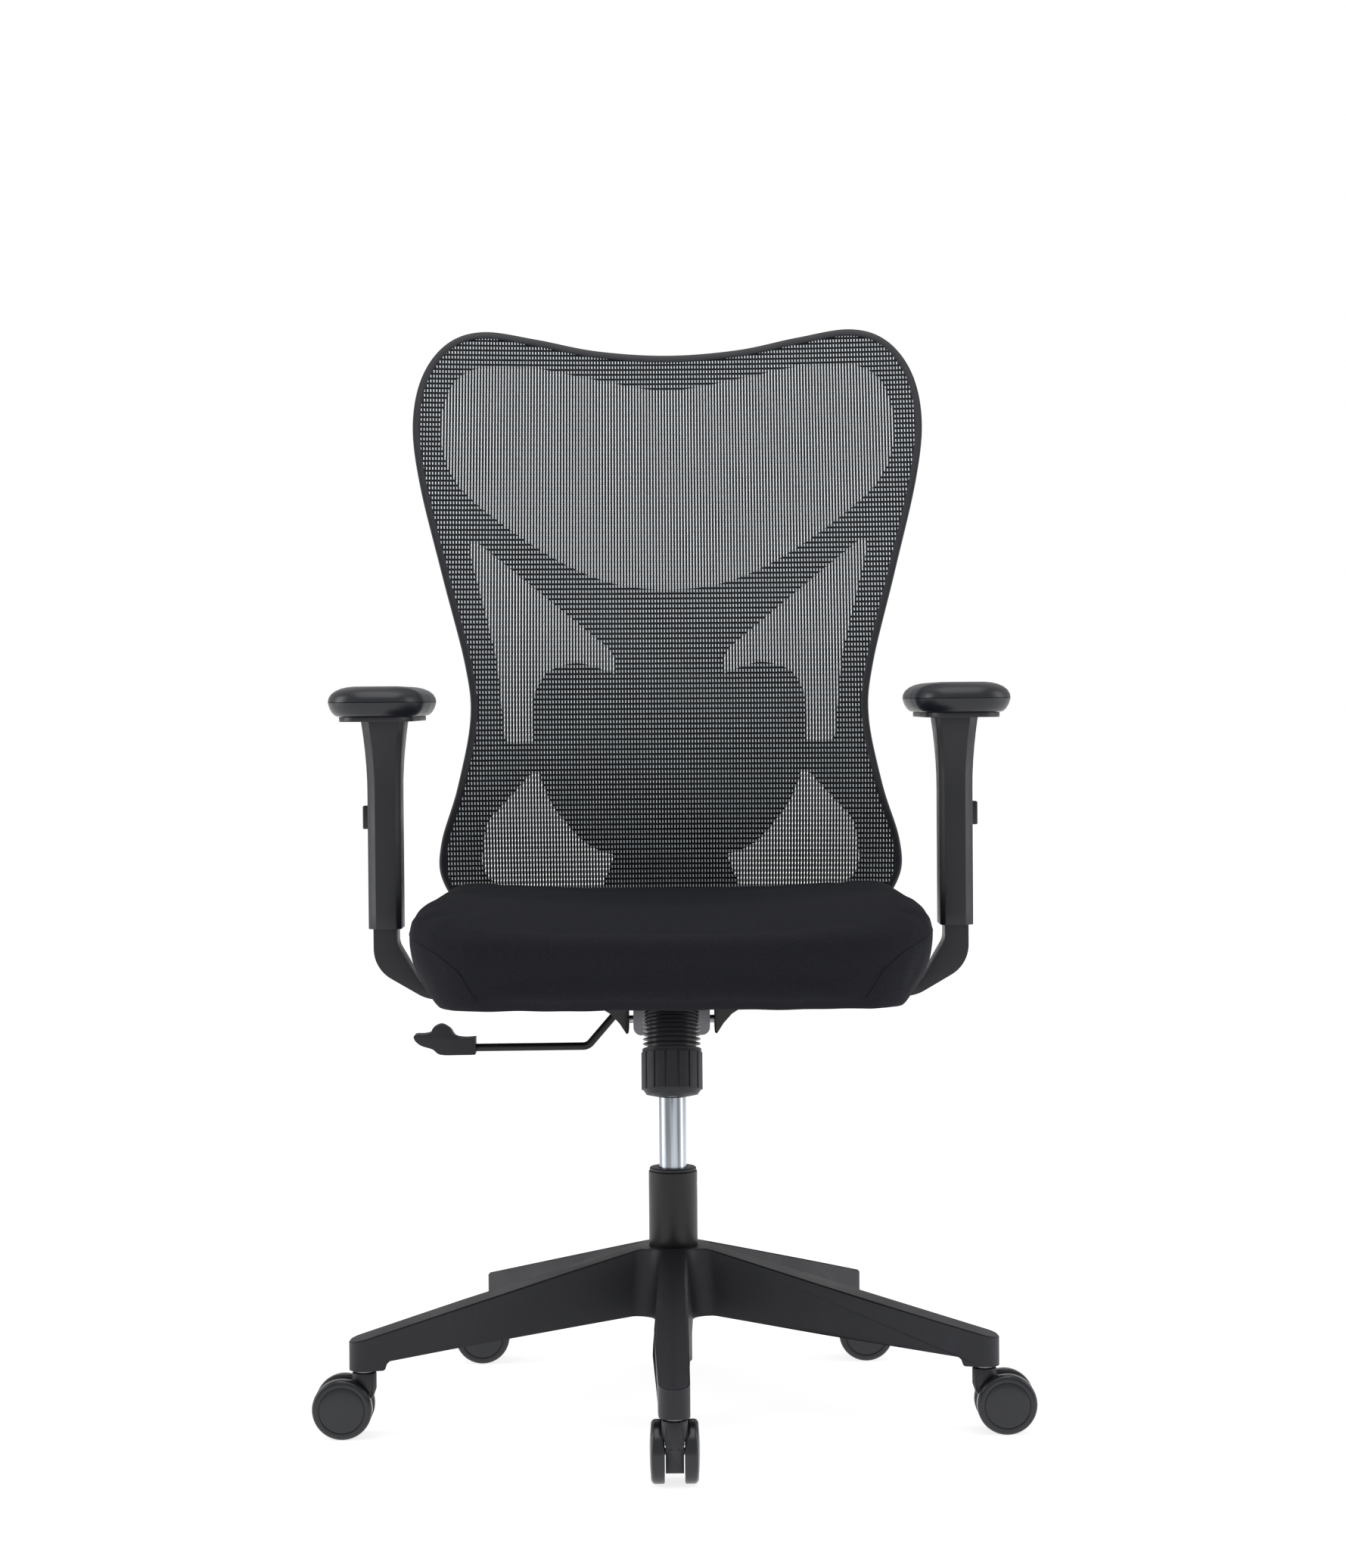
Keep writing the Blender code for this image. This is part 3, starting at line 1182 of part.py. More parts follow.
clear_scene()
CHAIR = collection("office_chair")
TOOLS = collection("cutters")
PLASTIC = finish("black_plastic", (0.045, 0.045, 0.055), 0.5)
STEEL_BLACK = finish("black_steel", (0.030, 0.028, 0.033), 0.35, 0.3)
STEEL = finish("plain_steel", (0.45, 0.45, 0.47), 0.35, 1.0)
CHROME = finish("chrome", (0.75, 0.77, 0.80), 0.08, 1.0)
GREY = finish("grey_paint", (0.32, 0.32, 0.34), 0.45, 0.2)
FABRIC = finish("seat_fabric", (0.022, 0.022, 0.028), 0.9)
MESH = finish("back_mesh", (0.10, 0.10, 0.12), 0.8)
PAD = finish("arm_pad", (0.035, 0.035, 0.042), 0.35)
WOOD = finish("seat_pan_wood", (0.35, 0.24, 0.14), 0.7)
main()
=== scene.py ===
"""Looks of a swivel office chair: net back, upholstered seat, adjustable arms, tilt mechanism, gas lift, star base.

Metres, +Z up. The sitter faces -Y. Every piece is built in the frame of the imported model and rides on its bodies.
"""

import json
import math

import bmesh
import bpy
from mathutils import Matrix, Vector
from mathutils.bvhtree import BVHTree

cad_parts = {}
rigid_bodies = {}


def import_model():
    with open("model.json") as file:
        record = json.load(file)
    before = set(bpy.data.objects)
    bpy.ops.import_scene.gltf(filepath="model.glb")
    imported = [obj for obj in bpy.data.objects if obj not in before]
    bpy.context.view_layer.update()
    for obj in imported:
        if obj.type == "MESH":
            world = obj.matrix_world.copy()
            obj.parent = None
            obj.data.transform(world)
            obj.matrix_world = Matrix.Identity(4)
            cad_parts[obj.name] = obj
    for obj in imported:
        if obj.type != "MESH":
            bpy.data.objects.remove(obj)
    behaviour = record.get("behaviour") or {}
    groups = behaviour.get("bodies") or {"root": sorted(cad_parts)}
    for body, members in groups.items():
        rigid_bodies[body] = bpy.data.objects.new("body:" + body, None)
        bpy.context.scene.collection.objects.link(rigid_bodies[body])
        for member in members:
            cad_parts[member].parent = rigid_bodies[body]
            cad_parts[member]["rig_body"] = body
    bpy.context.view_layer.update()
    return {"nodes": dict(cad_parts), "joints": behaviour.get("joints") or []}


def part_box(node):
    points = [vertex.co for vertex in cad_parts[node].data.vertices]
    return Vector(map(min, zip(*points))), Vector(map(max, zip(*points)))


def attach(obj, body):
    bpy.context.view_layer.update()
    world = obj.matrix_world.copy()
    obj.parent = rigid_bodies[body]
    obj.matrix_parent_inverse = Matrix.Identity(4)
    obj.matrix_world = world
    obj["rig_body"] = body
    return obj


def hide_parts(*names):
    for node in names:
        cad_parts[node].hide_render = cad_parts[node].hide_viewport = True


bl_info = {
    "name": "Office Chair Looks",
    "version": (1, 0, 0),
    "blender": (4, 5, 0),
    "location": "3D View > Sidebar > Chair",
    "description": "Builds the visible pieces, finishes and studio of a swivel office chair",
    "category": "Object",
}

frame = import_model()
NODES = frame["nodes"]
LEG_COUNT = 5
JOINTS = {joint["name"]: joint for joint in frame["joints"]}


# ---------------------------------------------------------------- settings
def length(name, about, default):
    return bpy.props.FloatProperty(name=name, description=about, default=default, unit="LENGTH", precision=5)


def share(name, about, default, top=1.0):
    return bpy.props.FloatProperty(name=name, description=about, default=default, min=0.0, max=top)


def colour(name, about, default):
    return bpy.props.FloatVectorProperty(name=name, description=about, default=default, size=3, subtype="COLOR",
                                         min=0.0, max=1.0)


class FinishSettings(bpy.types.PropertyGroup):
    plastic: colour("Moulded plastic", "Black nylon of the base, arms and back frame", (0.0120, 0.0125, 0.0170))
    wheel: colour("Wheel plastic", "Smooth nylon of the caster wheels", (0.0095, 0.0104, 0.0140))
    steel: colour("Black steel", "Powder coat of the lift tube, lever and brackets", (0.0060, 0.0058, 0.0070))
    paint: colour("Mechanism paint", "Light grey paint of the tilt housing", (0.23, 0.23, 0.25))
    chrome: colour("Chrome", "Bright lift cylinder", (0.50, 0.54, 0.59))
    fabric: colour("Seat fabric", "Fine black twill", (0.0130, 0.0133, 0.0167))
    yarn: colour("Net ground", "Black yarn between the net's slits", (0.0045, 0.0046, 0.0062))
    floats: colour("Net floats", "Light blue-grey yarn on the net's face", (0.66, 0.72, 0.86))
    pad: colour("Arm pad", "Soft black polyurethane", (0.0070, 0.0078, 0.0120))
    wood: colour("Seat board", "Moulded plywood under the cushion", (0.30, 0.19, 0.10))


class BackSettings(bpy.types.PropertyGroup):
    lumbar_y: length("Lumbar place", "Where the back is furthest forward at its middle", 0.226)
    lumbar_z: length("Lumbar height", "Height of the back's furthest forward line", 0.690)
    recline: share("Recline", "Slope of the back away from the lumbar curve", 0.32)
    bend: length("Lumbar bend", "Softness of the lumbar curve", 0.120)
    wrap: length("Wrap", "How far the sides come forward", 0.034)
    half_width: length("Half width", "Widest half of the back frame", 0.2816)
    rim_width: length("Rim width", "Width of the rim in the front view", 0.0080)
    rim_depth: length("Rim depth", "Depth of the rim from front to rear", 0.0200)
    web_thickness: length("Web thickness", "Wall of the moulded web behind the net", 0.0045)
    lumbar_thickness: length("Lumbar pad thickness", "Wall of the lumbar pad", 0.0045)


class NetSettings(bpy.types.PropertyGroup):
    cell_width: length("Cell width", "One column of the net", 0.0033)
    cell_height: length("Cell height", "One row of the net", 0.0055)
    band_height: length("Band height", "Solid band between two rows of slits", 0.0032)
    bar_width: length("Bar width", "Black yarn between two slits", 0.0023)
    float_width: length("Float width", "Light yarn on a band", 0.0014)
    float_height: length("Float height", "Length of a light yarn", 0.0031)
    depth: length("Yarn depth", "Thickness of the net", 0.0007)
    lean: bpy.props.FloatProperty(name="Lean", description="How much the slits lean", default=0.10, unit="ROTATION")


class SeatSettings(bpy.types.PropertyGroup):
    half_width: length("Half width", "Half the width of the cushion", 0.262)
    front_y: length("Front", "Front edge of the cushion", -0.250)
    rear_y: length("Rear", "Rear edge of the cushion", 0.222)
    foot_z: length("Foot", "Underside of the cushion", 0.440)
    side_z: length("Side height", "Top of the cushion at its sides", 0.540)
    widest_z: length("Widest height", "Where the cushion is widest", 0.506)
    dish: length("Dish", "How much lower the middle of the top is", 0.019)
    front_drop: length("Front drop", "How far the front edge falls away", 0.027)
    edge_drop: length("Edge drop", "How far the top falls towards its edge", 0.008)
    voxel: length("Remesh size", "Size of the cloth's cells", 0.0055)
    swell: length("Swell", "Furthest that the cloth may swell out", 0.0050)
    pressure: bpy.props.FloatProperty(name="Pressure", description="Pressure of the foam", default=4.0)
    seam_radius: length("Seam radius", "Radius of the sewn edge of the side panels", 0.0009)


class BaseSettings(bpy.types.PropertyGroup):
    leg_reach: length("Leg reach", "From the column's axis to a caster's stem", 0.326)
    tip_radius: length("Tip radius", "Rounded end of a leg", 0.0150)
    ledge: length("Ledge", "Step between a leg's top strip and its side", 0.0013)
    hub_radius: length("Hub radius", "Level top of the hub", 0.041)
    hub_top: length("Hub top", "Top of the hub", 0.1725)
    hub_foot: length("Hub foot", "Underside of the hub", 0.105)
    tip_top: length("Tip top", "Top of a leg over its stem", 0.100)
    socket_foot: length("Socket foot", "Underside of a leg's end", 0.067)
    wheel_radius: length("Wheel radius", "Radius of a caster wheel", 0.030)
    wheel_width: length("Wheel width", "Width of a caster wheel", 0.0142)
    trail: length("Trail", "From a caster's stem to its axle", 0.021)


class ArmSettings(bpy.types.PropertyGroup):
    place_x: length("Arm place", "Middle of an arm from the chair's middle", 0.2935)
    place_y: length("Arm middle", "Middle of an arm from front to rear", 0.015)
    pad_half: length("Pad half width", "Half the width of an arm pad", 0.048)
    pad_length: length("Pad length", "Length of an arm pad", 0.250)
    pad_dish: length("Pad dish", "How much the middle of a pad's top is lower", 0.0022)


class StageSettings(bpy.types.PropertyGroup):
    camera_distance: length("Camera distance", "From the column's axis to the camera", 3.3)
    camera_shift: length("Camera shift", "Sideways place of the camera", 0.0032)
    camera_height: length("Camera height", "Height of the camera", 0.7336)
    pitch: bpy.props.FloatProperty(name="Pitch", description="How far the camera looks down",
                                   default=math.radians(1.5), unit="ROTATION")
    roll: bpy.props.FloatProperty(name="Roll", description="Turn of the camera about its own line of sight",
                                  default=math.radians(-0.45), unit="ROTATION")
    lens: bpy.props.FloatProperty(name="Lens", description="Focal length in millimetres", default=73.83)
    sky: bpy.props.FloatProperty(name="Sky", description="Strength of the surrounding white", default=0.58)
    floor_glow: bpy.props.FloatProperty(name="Floor glow", description="Light of the floor itself", default=0.80)
    side_light: bpy.props.FloatProperty(name="Side boxes", description="Watts of each side light", default=19.0)
    top_light: bpy.props.FloatProperty(name="Top box", description="Watts of the top light", default=30.0)


class ChairSettings(bpy.types.PropertyGroup):
    finishes: bpy.props.PointerProperty(type=FinishSettings)
    back: bpy.props.PointerProperty(type=BackSettings)
    net: bpy.props.PointerProperty(type=NetSettings)
    seat: bpy.props.PointerProperty(type=SeatSettings)
    base: bpy.props.PointerProperty(type=BaseSettings)
    arms: bpy.props.PointerProperty(type=ArmSettings)
    stage: bpy.props.PointerProperty(type=StageSettings)


def settings():
    return bpy.context.scene.chair_looks


# ---------------------------------------------------------------- mesh tools
def new_object(name, mesh, finish=None):
    obj = bpy.data.objects.new(name, mesh)
    bpy.context.scene.collection.objects.link(obj)
    if finish is not None:
        mesh.materials.clear()
        mesh.materials.append(finish)
    return obj


def from_shape(name, shape, finish=None):
    mesh = bpy.data.meshes.new(name)
    shape.to_mesh(mesh)
    shape.free()
    return new_object(name, mesh, finish)


def shaded(obj, degrees=35.0):
    obj.data.shade_smooth()
    obj.data.set_sharp_from_angle(angle=math.radians(degrees))
    return obj


def settled(obj):
    """The object with its modifiers made part of its mesh."""
    bpy.context.view_layer.update()
    graph = bpy.context.evaluated_depsgraph_get()
    mesh = bpy.data.meshes.new_from_object(obj.evaluated_get(graph))
    finishes = list(obj.data.materials)
    obj.modifiers.clear()
    obj.data = mesh
    if finishes and not mesh.materials:
        for finish in finishes:
            mesh.materials.append(finish)
    return obj


def softened(obj, width, segments=2, degrees=30.0):
    """The object with its sharp edges rounded off."""
    bevel = obj.modifiers.new("edges", "BEVEL")
    bevel.width = width
    bevel.segments = segments
    bevel.limit_method = "ANGLE"
    bevel.angle_limit = math.radians(degrees)
    bevel.use_clamp_overlap = True
    return shaded(settled(obj))


def merged(target, others, operation):
    """Joins or cuts whole shapes, and removes the others."""
    for other in others:
        modifier = target.modifiers.new("shape", "BOOLEAN")
        modifier.operation = operation
        modifier.solver = "MANIFOLD"
        modifier.object = other
        settled(target)
        bpy.data.objects.remove(other, do_unlink=True)
    return target


def carried(obj, nodes):
    """Puts the piece on the body of the nodes that it stands for."""
    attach(obj, NODES[nodes[0]]["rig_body"])
    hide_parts(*nodes)
    return obj


def clean_copy(node, name, finish, turn_flat=True):
    """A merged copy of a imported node, with its flat areas made whole again."""
    shape = bmesh.new()
    shape.from_mesh(NODES[node].data)
    bmesh.ops.remove_doubles(shape, verts=shape.verts, dist=0.00002)
    if turn_flat:
        bmesh.ops.dissolve_limit(shape, angle_limit=math.radians(0.8), verts=shape.verts, edges=shape.edges)
    bmesh.ops.recalc_face_normals(shape, faces=shape.faces)
    return from_shape(name, shape, finish)


def loft(name, rings, finish=None, capped=True):
    """A closed skin over rings of equal point counts. Uncapped, the last ring joins the first."""
    shape = bmesh.new()
    loops = [[shape.verts.new(point) for point in ring] for ring in rings]
    count = len(rings[0])
    pairs = list(zip(loops, loops[1:]))
    if not capped:
        pairs.append((loops[-1], loops[0]))
    for lower, upper in pairs:
        for i in range(count):
            j = (i + 1) % count
            shape.faces.new((lower[i], lower[j], upper[j], upper[i]))
    if capped:
        shape.faces.new(loops[0][::-1])
        shape.faces.new(loops[-1])
    bmesh.ops.recalc_face_normals(shape, faces=shape.faces)
    return from_shape(name, shape, finish)


def lathe(name, profile, finish=None, segments=96, place=None):
    """A closed profile of (radius, height) points turned about Z, or about the place's own Z."""
    shape = bmesh.new()
    columns = []
    for step in range(segments):
        turn = 2 * math.pi * step / segments
        columns.append([shape.verts.new((r * math.cos(turn), r * math.sin(turn), z)) for r, z in profile])
    count = len(profile)
    for step in range(segments):
        here, there = columns[step], columns[(step + 1) % segments]
        for i in range(count):
            j = (i + 1) % count
            shape.faces.new((here[i], there[i], there[j], here[j]))
    bmesh.ops.remove_doubles(shape, verts=shape.verts, dist=0.000002)
    bmesh.ops.dissolve_degenerate(shape, edges=shape.edges, dist=0.000002)
    bmesh.ops.recalc_face_normals(shape, faces=shape.faces)
    if place is not None:
        bmesh.ops.transform(shape, matrix=place, verts=shape.verts)
    return from_shape(name, shape, finish)


def rod(name, start, end, radius, segments=48):
    """A plain cylinder between two points, for cutting or joining."""
    start, end = Vector(start), Vector(end)
    run = end - start
    place = Matrix.Translation(start) @ run.to_track_quat("Z", "Y").to_matrix().to_4x4()
    return lathe(name, [(0.0, 0.0), (radius, 0.0), (radius, run.length), (0.0, run.length)], None, segments, place)


def prism(name, outlines, low, high, plane="XY", finish=None):
    """A flat plate from low to high across its plane: the first outline less the others."""
    curve = bpy.data.curves.new(name, "CURVE")
    curve.dimensions = "2D"
    curve.fill_mode = "BOTH"
    curve.extrude = (high - low) / 2
    for outline in outlines:
        spline = curve.splines.new("POLY")
        spline.points.add(len(outline) - 1)
        for point, (u, v) in zip(spline.points, outline):
            point.co = (u, v, 0.0, 1.0)
        spline.use_cyclic_u = True
    sketch = bpy.data.objects.new(name + "_sketch", curve)
    bpy.context.scene.collection.objects.link(sketch)
    bpy.context.view_layer.update()
    mesh = bpy.data.meshes.new_from_object(sketch.evaluated_get(bpy.context.evaluated_depsgraph_get()))
    bpy.data.objects.remove(sketch, do_unlink=True)
    mesh.transform(Matrix.Translation((0, 0, (low + high) / 2)))
    if plane == "XZ":
        mesh.transform(Matrix(((1, 0, 0, 0), (0, 0, 1, 0), (0, 1, 0, 0), (0, 0, 0, 1))))
    elif plane == "YZ":
        mesh.transform(Matrix(((0, 0, 1, 0), (1, 0, 0, 0), (0, 1, 0, 0), (0, 0, 0, 1))))
    shape = bmesh.new()
    shape.from_mesh(mesh)
    bmesh.ops.remove_doubles(shape, verts=shape.verts, dist=0.00001)
    bmesh.ops.recalc_face_normals(shape, faces=shape.faces)
    shape.to_mesh(mesh)
    shape.free()
    return new_object(name, mesh, finish)


def arc(centre, radius, start, end, steps):
    """Points on a circle, from start to end in degrees."""
    points = []
    for i in range(steps + 1):
        angle = math.radians(start + (end - start) * i / steps)
        points.append((centre[0] + radius * math.cos(angle), centre[1] + radius * math.sin(angle)))
    return points


def rounded(corners, steps=8):
    """An outline from (u, v, radius) corners, each turned as an arc of that radius."""
    points = []
    count = len(corners)
    for i, (u, v, radius) in enumerate(corners):
        here = Vector((u, v))
        back = (Vector(corners[i - 1][:2]) - here).normalized()
        ahead = (Vector(corners[(i + 1) % count][:2]) - here).normalized()
        if radius == 0:
            points.append((u, v))
            continue
        half = back.angle(ahead) / 2
        centre = here + (back + ahead).normalized() * (radius / math.sin(half))
        first = here + back * (radius / math.tan(half)) - centre
        last = here + ahead * (radius / math.tan(half)) - centre
        sweep = math.atan2(first.cross(last), first.dot(last))
        for step in range(steps + 1):
            points.append(tuple(centre + Matrix.Rotation(sweep * step / steps, 2) @ first))
    return points


def smooth_outline(points, steps):
    """A closed smooth curve through the points."""
    made = []
    count = len(points)
    for i in range(count):
        a, b, c, d = (Vector(points[(i + k) % count]) for k in (-1, 0, 1, 2))
        for step in range(steps):
            t = step / steps
            made.append(tuple(0.5 * (2 * b + (c - a) * t + (2 * a - 5 * b + 4 * c - d) * t**2
                                     + (3 * b - a - 3 * c + d) * t**3)))
    return made


def mirrored(half):
    """A closed outline from its right half, which runs from the middle round to the middle."""
    return list(half) + [(-u, v) for u, v in reversed(half) if abs(u) > 1e-9]


def normals_of(outline):
    """The inward normal at each point of a closed outline."""
    count = len(outline)
    area = sum(outline[i][0] * outline[(i + 1) % count][1] - outline[(i + 1) % count][0] * outline[i][1]
               for i in range(count))
    side = 1.0 if area > 0 else -1.0
    found = []
    for i in range(count):
        run = (Vector(outline[(i + 1) % count]) - Vector(outline[i - 1])).normalized()
        found.append(Vector((-run.y, run.x)) * side)
    return found


def inset(outline, distance):
    return [(u + n.x * distance, v + n.y * distance) for (u, v), n in zip(outline, normals_of(outline))]


def inside(outline, u, v):
    """Whether a point lies inside a closed outline."""
    hit = False
    for i, (u1, v1) in enumerate(outline):
        u0, v0 = outline[i - 1]
        if (v0 > v) != (v1 > v) and u < (u1 - u0) * (v - v0) / (v1 - v0) + u0:
            hit = not hit
    return hit


def tube_along(name, points, radius, finish, sides=16):
    """A round bar that follows points in space, closed at both ends."""
    rings = []
    count = len(points)
    side = None
    for i, point in enumerate(points):
        run = (Vector(points[min(i + 1, count - 1)]) - Vector(points[max(i - 1, 0)])).normalized()
        if side is None:
            side = run.orthogonal().normalized()
        side = (side - run * side.dot(run)).normalized()
        other = run.cross(side)
        rings.append([Vector(point) + (side * math.cos(t) + other * math.sin(t)) * radius
                      for t in (2 * math.pi * k / sides for k in range(sides))])
    return shaded(loft(name, rings, finish), 50.0)


# ---------------------------------------------------------------- shared effects
def effect(name, inputs, outputs):
    """A new shader group with named inputs and outputs."""
    tree = bpy.data.node_groups.new(name, "ShaderNodeTree")
    for label, default in inputs:
        tree.interface.new_socket(label, in_out="INPUT", socket_type="NodeSocketFloat").default_value = default
    for label in outputs:
        tree.interface.new_socket(label, in_out="OUTPUT", socket_type="NodeSocketFloat")
    return tree, tree.nodes.new("NodeGroupInput"), tree.nodes.new("NodeGroupOutput")


def add_node(tree, kind, **values):
    node = tree.nodes.new(kind)
    for key, value in values.items():
        if key in ("operation", "blend_type", "data_type", "noise_dimensions", "wave_type", "bands_direction",
                   "feature", "wave_profile", "interpolation_type"):
            setattr(node, key, value)
        else:
            socket = int(key[2:]) if key.startswith("in") else key.replace("_", " ").title()
            node.inputs[socket].default_value = value
    return node


def grain_effect():
    """Fine moulded grain, with a slow mottle for its gloss."""
    if "Moulded Grain" in bpy.data.node_groups:
        return bpy.data.node_groups["Moulded Grain"]
    tree, start, end = effect("Moulded Grain", [("Grain Size", 900.0), ("Mottle Size", 14.0)], ["Height", "Mottle"])
    place = tree.nodes.new("ShaderNodeTexCoord")
    fine = add_node(tree, "ShaderNodeTexNoise", detail=2.0, roughness=0.6)
    slow = add_node(tree, "ShaderNodeTexNoise", detail=3.0, roughness=0.55)
    tree.links.new(place.outputs["Object"], fine.inputs["Vector"])
    tree.links.new(place.outputs["Object"], slow.inputs["Vector"])
    tree.links.new(start.outputs["Grain Size"], fine.inputs["Scale"])
    tree.links.new(start.outputs["Mottle Size"], slow.inputs["Scale"])
    tree.links.new(fine.outputs["Fac"], end.inputs["Height"])
    tree.links.new(slow.outputs["Fac"], end.inputs["Mottle"])
    return tree


def scuff_effect():
    """Faint rubbed streaks: long and thin along Z, broken up by a slow noise."""
    if "Rubbed Streaks" in bpy.data.node_groups:
        return bpy.data.node_groups["Rubbed Streaks"]
    tree, start, end = effect("Rubbed Streaks", [("Streak Size", 40.0), ("Amount", 0.5)], ["Mask"])
    place = tree.nodes.new("ShaderNodeTexCoord")
    stretch = tree.nodes.new("ShaderNodeMapping")
    stretch.inputs["Scale"].default_value = (1.0, 1.0, 0.22)
    streak = add_node(tree, "ShaderNodeTexNoise", detail=4.0, roughness=0.7)
    patch = add_node(tree, "ShaderNodeTexNoise", scale=7.0, detail=1.0)
    both = add_node(tree, "ShaderNodeMath", operation="MULTIPLY")
    ramp = tree.nodes.new("ShaderNodeMapRange")
    ramp.inputs["From Min"].default_value = 0.30
    ramp.inputs["From Max"].default_value = 0.46
    amount = add_node(tree, "ShaderNodeMath", operation="MULTIPLY")
    tree.links.new(place.outputs["Object"], stretch.inputs["Vector"])
    tree.links.new(stretch.outputs["Vector"], streak.inputs["Vector"])
    tree.links.new(start.outputs["Streak Size"], streak.inputs["Scale"])
    tree.links.new(place.outputs["Object"], patch.inputs["Vector"])
    tree.links.new(streak.outputs["Fac"], both.inputs[0])
    tree.links.new(patch.outputs["Fac"], both.inputs[1])
    tree.links.new(both.outputs["Value"], ramp.inputs["Value"])
    tree.links.new(ramp.outputs["Result"], amount.inputs[0])
    tree.links.new(start.outputs["Amount"], amount.inputs[1])
    tree.links.new(amount.outputs["Value"], end.inputs["Mask"])
    return tree


def twill_effect():
    """Diagonal ribs that run over the cushion's edges, broken by a cross thread."""
    if "Twill Weave" in bpy.data.node_groups:
        return bpy.data.node_groups["Twill Weave"]
    tree, start, end = effect("Twill Weave", [("Pitch", 0.0011)], ["Height", "Thread"])
    place = tree.nodes.new("ShaderNodeTexCoord")
    parts = tree.nodes.new("ShaderNodeSeparateXYZ")
    tree.links.new(place.outputs["Object"], parts.inputs["Vector"])
    down = add_node(tree, "ShaderNodeMath", operation="SUBTRACT")
    tree.links.new(parts.outputs["Z"], down.inputs[0])
    tree.links.new(parts.outputs["Y"], down.inputs[1])
    waves = []
    for operation, pitch_share in (("ADD", 1.0), ("SUBTRACT", 0.5)):
        diagonal = add_node(tree, "ShaderNodeMath", operation=operation)
        tree.links.new(parts.outputs["X"], diagonal.inputs[0])
        tree.links.new(down.outputs["Value"], diagonal.inputs[1])
        turns = add_node(tree, "ShaderNodeMath", operation="DIVIDE")
        tree.links.new(diagonal.outputs["Value"], turns.inputs[0])
        tree.links.new(start.outputs["Pitch"], turns.inputs[1])
        angle = add_node(tree, "ShaderNodeMath", operation="MULTIPLY", in1=2 * math.pi * 0.7 / pitch_share)
        tree.links.new(turns.outputs["Value"], angle.inputs[0])
        sine = add_node(tree, "ShaderNodeMath", operation="SINE")
        tree.links.new(angle.outputs["Value"], sine.inputs[0])
        waves.append(sine)
    cross = add_node(tree, "ShaderNodeMath", operation="MULTIPLY_ADD", in1=0.30)
    tree.links.new(waves[1].outputs["Value"], cross.inputs[0])
    tree.links.new(waves[0].outputs["Value"], cross.inputs[2])
    level = add_node(tree, "ShaderNodeMapRange")
    level.inputs["From Min"].default_value = -1.3
    level.inputs["From Max"].default_value = 1.3
    tree.links.new(cross.outputs["Value"], level.inputs["Value"])
    fibre = add_node(tree, "ShaderNodeTexNoise", scale=600.0, detail=2.0)
    tree.links.new(place.outputs["Object"], fibre.inputs["Vector"])
    tree.links.new(level.outputs["Result"], end.inputs["Height"])
    tree.links.new(fibre.outputs["Fac"], end.inputs["Thread"])
    return tree


def finish_base(name, base, roughness, metallic=0.0, specular=0.5):
    made = bpy.data.materials.new(name)
    made.use_nodes = True
    shader = made.node_tree.nodes["Principled BSDF"]
    shader.inputs["Base Color"].default_value = (*base, 1.0)
    shader.inputs["Roughness"].default_value = roughness
    shader.inputs["Metallic"].default_value = metallic
    shader.inputs["Specular IOR Level"].default_value = specular
    return made, made.node_tree, shader


def blended(tree, mask, base, other, shader):
    """Base Color from one colour to another by a mask."""
    mix = tree.nodes.new("ShaderNodeMix")
    mix.data_type = "RGBA"
    mix.inputs["A"].default_value = (*base, 1.0)
    mix.inputs["B"].default_value = (*other, 1.0)
    tree.links.new(mask, mix.inputs["Factor"])
    tree.links.new(mix.outputs["Result"], shader.inputs["Base Color"])
    return mix


def ranged(tree, value, low, high, socket, from_low=0.3, from_high=0.7):
    ramp = tree.nodes.new("ShaderNodeMapRange")
    ramp.inputs["From Min"].default_value = from_low
    ramp.inputs["From Max"].default_value = from_high
    ramp.inputs["To Min"].default_value = low
    ramp.inputs["To Max"].default_value = high
    tree.links.new(value, ramp.inputs["Value"])
    tree.links.new(ramp.outputs["Result"], socket)


def bumped(tree, height, shader, strength, distance):
    bump = tree.nodes.new("ShaderNodeBump")
    bump.inputs["Strength"].default_value = strength
    bump.inputs["Distance"].default_value = distance
    tree.links.new(height, bump.inputs["Height"])
    tree.links.new(bump.outputs["Normal"], shader.inputs["Normal"])


def grouped(tree, group, **values):
    node = tree.nodes.new("ShaderNodeGroup")
    node.node_tree = group
    for key, value in values.items():
        node.inputs[key.replace("_", " ").title()].default_value = value
    return node


def lighter(base, factor):
    return tuple(min(1.0, part * factor) for part in base)


def moulded(name, base, roughness, grain, bump, streaks, specular=0.4):
    """Black moulded nylon: grain, a mottled gloss and faint rubbed streaks."""
    if name in bpy.data.materials:
        return bpy.data.materials[name]
    made, tree, shader = finish_base(name, base, roughness, specular=specular)
    texture = grouped(tree, grain_effect(), grain_size=grain, mottle_size=16.0)
    rubbed = grouped(tree, scuff_effect(), streak_size=38.0, amount=streaks)
    blended(tree, rubbed.outputs["Mask"], base, lighter(base, 2.6), shader)
    ranged(tree, texture.outputs["Mottle"], roughness - 0.05, roughness + 0.07, shader.inputs["Roughness"])
    bumped(tree, texture.outputs["Height"], shader, bump, 0.0004)
    return made


def plastic():
    return moulded("moulded black nylon", tuple(settings().finishes.plastic), 0.46, 1500.0, 0.32, 0.30)


def smooth_plastic():
    return moulded("smooth black nylon", tuple(settings().finishes.wheel), 0.24, 700.0, 0.05, 0.12, specular=0.5)


